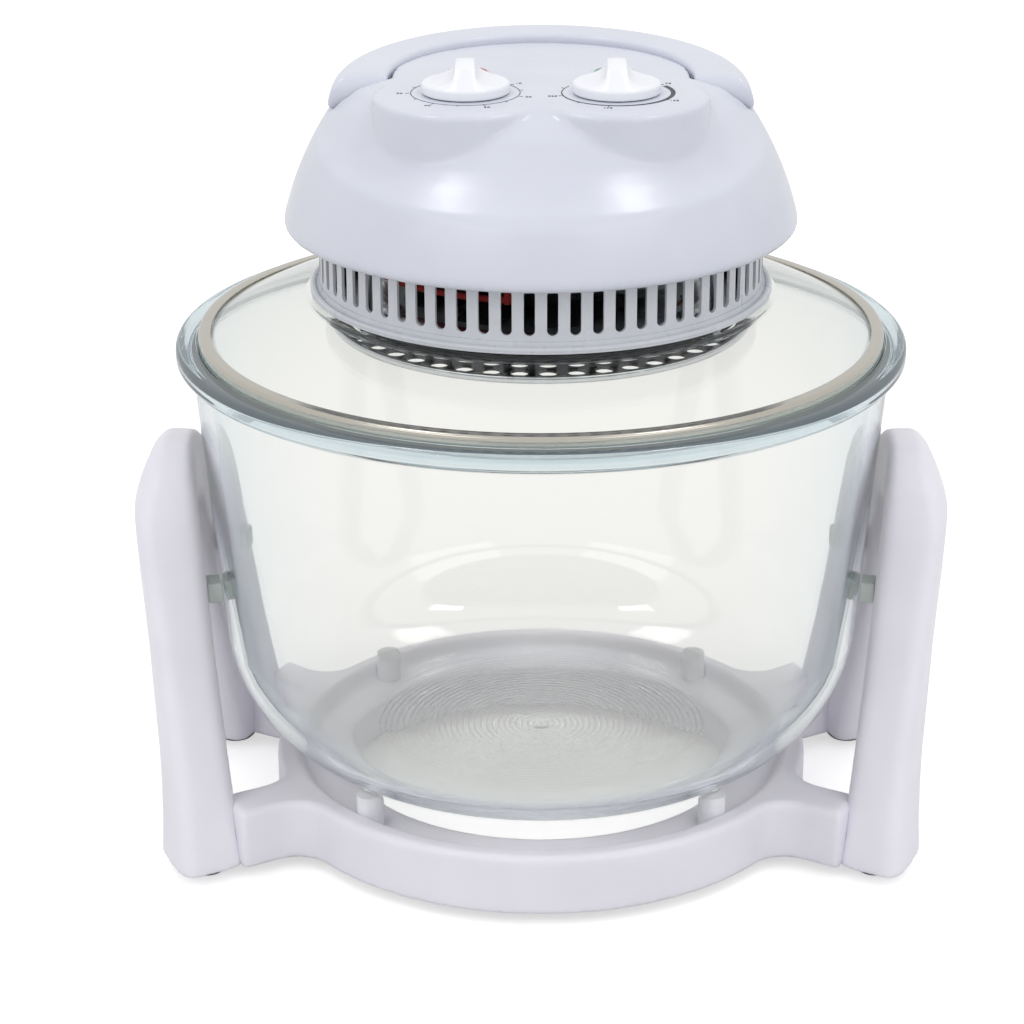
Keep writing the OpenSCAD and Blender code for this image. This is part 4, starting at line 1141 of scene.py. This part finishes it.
@dataclass
class Head(Assembly):
    """The head's casing, its pilot lenses and the marks printed round its dials.

    Attributes:
        grid: Grid of the softened casing, in millimetres.
        dial_r: Radius of the printed circle, in millimetres.
        ink: Thickness of the ink, in millimetres.
        ink_gap: Height of the ink's underside above the panel, in millimetres.
        ink_fine: Width of a tick, in millimetres.
        turret_r: Radius of the round panel inside the handle, in millimetres.
        lip: How far the panel's edge stands out over the handle's slot, in millimetres.
    """

    body: str = "lid"
    grid: float = 1.25
    dial_r: float = 19.8
    ink: float = 0.07
    ink_gap: float = 0.02
    ink_fine: float = 0.28
    turret_r: float = 55.9
    lip: float = 0.7

    def lipped(self, r: float, angle: float, depth: float) -> float:
        """Returns how far the panel's edge stands out over the handle's slot.

        Args:
            r: Distance from the axis, in millimetres.
            angle: Angle round the axis, in radians.
            depth: Depth below the panel, in millimetres.

        Returns:
            The way out, in millimetres.
        """
        behind = eased(math.sin(angle), 0.1, 0.3)
        near = eased(r, self.turret_r - 3.0, self.turret_r - 0.6) * (r < self.turret_r + 0.5)
        return self.lip * behind * near * (1 - eased(depth, 2.5, 6.0))

    def dial_centre(self, side: Side) -> Vector:
        """Returns the middle of one dial on the panel, in metres."""
        low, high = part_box(KNOB_NODES[side])
        return Vector(((low.x + high.x) / 2, (low.y + high.y) / 2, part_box("head_shell")[1].z))

    def at_clock(self, centre: Vector, turn: float, r: float) -> Vector:
        """Returns the point at a clockwise turn in degrees from the back and a radius in millimetres."""
        angle = math.radians(turn)
        return centre + Vector((math.sin(angle), math.cos(angle), 0)) * r * MM

    def printed(self, work: Work, points: Sequence[Vector]) -> None:
        """Adds one flat printed shape to a bmesh, as thick as the ink."""
        gap = Vector((0, 0, self.ink_gap * MM))
        raised(work, [work.faces.new([work.verts.new(p + gap) for p in points])], self.ink)

    def ring_part(self, work: Work, centre: Vector, start: float, end: float, wide: tuple) -> None:
        """Adds a stretch of a printed ring.

        Args:
            work: The bmesh that takes the print.
            centre: Middle of the dial.
            start: Turn at which the stretch starts, in degrees.
            end: Turn at which it ends.
            wide: Its width at the start and at the end, in millimetres.
        """
        steps = max(4, round((end - start) / 5))
        inner, outer = [], []
        for i in range(steps + 1):
            turn = start + (end - start) * i / steps
            width = wide[0] + (wide[1] - wide[0]) * i / steps
            inner.append(self.at_clock(centre, turn, self.dial_r))
            outer.append(self.at_clock(centre, turn, self.dial_r + width))
        for i in range(steps):
            self.printed(work, [inner[i], inner[i + 1], outer[i + 1], outer[i]])

    def tick(self, work: Work, centre: Vector, turn: float, long: float) -> None:
        """Adds one printed tick of a length in millimetres outside the ring."""
        out = self.at_clock(Vector((0, 0, 0)), turn, 1.0).normalized()
        side = Vector((-out.y, out.x, 0)) * self.ink_fine / 2 * MM
        near = centre + out * (self.dial_r + 0.6) * MM
        far = near + out * long * MM
        self.printed(work, [near - side, near + side, far + side, far - side])

    def number(self, text: str, place: Vector, high: float) -> bpy.types.Mesh:
        """Returns the mesh of a printed number.

        Args:
            text: The number.
            place: Its middle.
            high: Height of its figures, in millimetres.

        Returns:
            Its mesh, as thick as the ink.
        """
        curve = bpy.data.curves.new("dial_number", "FONT")
        curve.body = text
        curve.size = high * 1.4 * MM
        curve.align_x = "CENTER"
        curve.align_y = "CENTER"
        curve.extrude = self.ink * MM / 2
        shape = placed("dial_number", curve)
        bpy.context.view_layer.update()
        mesh = baked(shape)
        bpy.data.objects.remove(shape)
        mesh.transform(Matrix.Translation(place + Vector((0, 0, (self.ink_gap + self.ink / 2) * MM))))
        return mesh

    def dial_print(self, side: Side) -> Piece:
        """Builds the ring, ticks and numbers round one dial.

        Args:
            side: Which dial.

        Returns:
            The print as one thin piece.
        """
        centre = self.dial_centre(side)
        work = bmesh.new()
        if side is Side.LEFT:
            end, count = 320, 12
            self.ring_part(work, centre, 0, end, (self.ink_fine, self.ink_fine))
            marks = [(str(5 * i), end * i / count, i % 2 == 0) for i in range(count + 1)]
        else:
            start, sweep, count = 20, 270, 8
            self.ring_part(work, centre, 60, 300, (1.9, 0.2))
            marks = [(str(50 + 25 * i), start + sweep * i / count, i % 2 == 1) for i in range(count + 1)]
        for text, turn, named in marks:
            self.tick(work, centre, turn, 1.5 if named else 0.9)
            if named:
                mesh = self.number(text, self.at_clock(centre, turn, self.dial_r + 4.2), 1.7)
                work.from_mesh(mesh)
                bpy.data.meshes.remove(mesh)
        return from_bmesh(f"{side.name.lower()}_dial_print", work, smooth=False)

    def lens(self, side: Side) -> Piece:
        """Builds one pilot lens: a low dome with a rim, through the panel."""
        node = LENS_NODES[side]
        low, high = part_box(node)
        radius = (high.x - low.x) / 2 / MM
        deck = levels("head_shell")[1]
        outline = rounded(
            [
                (0.0, low.z / MM, 0),
                (radius - 1.0, low.z / MM, 0.3),
                (radius - 1.0, deck, 0),
                (radius, deck, 0.1),
                (radius, deck + 0.7, 0.3),
                (radius - 1.2, deck + 1.1, 0.5),
                (radius * 0.62, high.z / MM - 0.4, 2.0),
                (0.0, high.z / MM, 0),
            ],
            5,
        )
        piece = spun(node + "_dome", outline, 64)
        centre = (low + high) / 2
        piece.data.transform(Matrix.Translation((centre.x, centre.y, 0)))
        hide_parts(node)
        return piece

    def build(self) -> None:
        """Builds the casing, the prints and the lenses."""
        casing = softened("head_casing", "head_shell", self.grid, 4)
        top = levels("head_shell")[1]
        reshaped(casing, lambda r, a, z: (r + self.lipped(r, a, top - z), a, z))
        self.keep(casing, HEAD_PLASTIC, "head_plastic")
        for side in Side:
            self.keep(self.dial_print(side), DIAL_INK, "dark_plastic")
        for side in Side:
            piece = self.lens(side)
            low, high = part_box(LENS_NODES[side])
            middle = (low.x + high.x) / 2 / MM, (low.y + high.y) / 2 / MM
            finish = TintedLens(f"{side.name.lower()}_pilot_acrylic", *LENS_DYES[side], middle)
            self.keep(piece, finish, LENS_NODES[side])


@dataclass
class CarryingHandle(Assembly):
    """The bow of the carrying handle.

    Attributes:
        grid: Grid of its softened surface, in millimetres.
    """

    body: str = "carrying_handle"
    grid: float = 0.8

    def build(self) -> None:
        """Builds the bow."""
        bow = softened("handle_bow", "handle", self.grid, 5)
        self.keep(bow, HEAD_PLASTIC, "handle_plastic")


@dataclass
class Knob(Assembly):
    """One control knob.

    Attributes:
        node: Its CAD node.
        grid: Grid of its softened surface, in millimetres.
        skirt: Height of its round skirt, in millimetres.
        pinch: Half the thickness of the grip at its top, in millimetres.
        low: Height of the grip, as a share of the CAD grip's.
    """

    node: str = "timer_knob"
    grid: float = 0.34
    skirt: float = 4.0
    pinch: float = 3.6
    low: float = 0.84

    def build(self) -> None:
        """Builds the knob."""
        knob = softened(self.node + "_cap", self.node, self.grid, 4)
        low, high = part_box(self.node)
        middle, foot = (low + high) / 2, low.z + self.skirt * MM
        rise = high.z - foot
        for vert in knob.data.vertices:
            up = min(1.0, max(0.0, (vert.co.z - foot) / rise))
            across = vert.co.x - middle.x
            beyond = abs(across) - self.pinch * MM
            if up > 0 and beyond > 0:
                share = math.sqrt(max(0.0, 1 - math.sqrt(up * (2 - up))))
                across = math.copysign(self.pinch * MM + beyond * share, across)
            vert.co.x = middle.x + across
            vert.co.z -= (1 - self.low) * max(0.0, vert.co.z - foot)
        knob.data.update()
        self.keep(knob, KNOB_PLASTIC, "knob_plastic")


# -------------------------------------------------------------------------- studio


@dataclass
class Studio:
    """Floor, lamps, world and camera.

    Attributes:
        distance: Camera's distance in front of the oven's axis, in millimetres.
        height: Camera's height above the table, in millimetres.
        pitch: How far the camera looks down, in degrees.
        focal_px: Focal length in pixels of a square image.
        centre_px: Column of the image's optical centre.
    """

    distance: float = 1100.0
    height: float = 556.0
    pitch: float = 21.37
    focal_px: float = 2997.0
    centre_px: float = 541.0

    def camera(self) -> None:
        """Sets up the camera at the photograph's place."""
        data = bpy.data.cameras.new("camera")
        data.sensor_width = 36.0
        data.lens = self.focal_px / IMAGE_SIDE * data.sensor_width
        data.shift_x = (IMAGE_SIDE / 2 - self.centre_px) / IMAGE_SIDE
        made = placed("camera", data)
        made.location = (0, -self.distance * MM, self.height * MM)
        made.rotation_euler = (math.radians(90 - self.pitch), 0, 0)
        bpy.context.scene.camera = made

    def seen_rays(self, tree: Tree, direct: float, through: float) -> Socket:
        """Returns a strength for the rays that show a surface to the camera.

        Args:
            tree: The node tree.
            direct: Strength for rays from the camera.
            through: Strength for rays off gloss and through glass.

        Returns:
            The strength, which is 0 for all other rays.
        """
        path = add_node(tree, "ShaderNodeLightPath").outputs
        either = calc(tree, "MAXIMUM", path["Is Glossy Ray"], path["Is Transmission Ray"])
        bent = calc(tree, "MULTIPLY", either, through)
        return calc(tree, "MAXIMUM", bent, calc(tree, "MULTIPLY", path["Is Camera Ray"], direct))

    def floor(self) -> None:
        """Lays a pale floor that keeps the shadow."""
        work = bmesh.new()
        bmesh.ops.create_circle(work, cap_ends=True, segments=96, radius=4.0)
        piece = from_bmesh("floor", work, smooth=False)
        material = bpy.data.materials.new("pale_floor")
        tree, output = blank_tree(material, "ShaderNodeOutputMaterial")
        paper = add_node(tree, "ShaderNodeBsdfDiffuse", Color=(0.72, 0.72, 0.72, 1.0))
        share = self.seen_rays(tree, 0.55, 0.22)
        lift = add_node(tree, "ShaderNodeEmission", Color=(1.0, 1.0, 1.0, 1.0), Strength=share)
        both = add_node(tree, "ShaderNodeAddShader", _0=paper.outputs[0], _1=lift.outputs[0])
        tree.links.new(both.outputs[0], output.inputs["Surface"])
        piece.data.materials.append(material)

    def world(self) -> None:
        """Gives the world a plain pale light, white where it is seen."""
        world = bpy.data.worlds.new("studio")
        bpy.context.scene.world = world
        tree, output = blank_tree(world, "ShaderNodeOutputWorld")
        level = calc(tree, "MAXIMUM", self.seen_rays(tree, 1.0, 0.85), 0.85)
        light = add_node(tree, "ShaderNodeBackground", Color=(1.0, 1.0, 1.0, 1.0), Strength=level)
        tree.links.new(light.outputs[0], output.inputs["Surface"])

    def lamp(self, name: str, place: tuple, aim: tuple, size: tuple, power: float) -> None:
        """Adds one rectangular soft lamp.

        Args:
            name: Its name.
            place: Where it stands, in metres.
            aim: The point that it faces.
            size: Its width and height, in metres.
            power: Its power, in watts.
        """
        data = bpy.data.lights.new(name, "AREA")
        data.shape = "RECTANGLE"
        data.size, data.size_y = size
        data.energy = power
        made = placed(name, data)
        made.location = place
        made.rotation_euler = (Vector(aim) - Vector(place)).to_track_quat("-Z", "Y").to_euler()

    def build(self) -> None:
        """Builds the whole studio."""
        self.camera()
        self.floor()
        self.world()
        middle = (0, 0, 0.2)
        for way in Side:
            x, word = way.value, way.name.lower()
            self.lamp(f"{word}_front_softbox", (1.1 * x, -1.3, 1.3), middle, (1.3, 0.9), 3.6)
            self.lamp(f"{word}_top_softbox", (0.7 * x, -0.05, 1.9), middle, (0.4, 0.3), 3.0)
        bpy.context.scene.view_settings.view_transform = "Standard"


def main() -> None:
    """Builds and dresses the oven and its studio."""
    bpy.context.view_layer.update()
    dress_cad_nodes()
    assemblies: list[Assembly] = [
        Stand(),
        Bowl(),
        Lid(),
        Head(),
        CarryingHandle(),
        Knob("timer_dial", "timer_knob"),
        Knob("thermostat_dial", "thermostat_knob"),
    ]
    for assembly in assemblies:
        assembly.build()
    Studio().build()


if __name__ == "__main__":
    main()
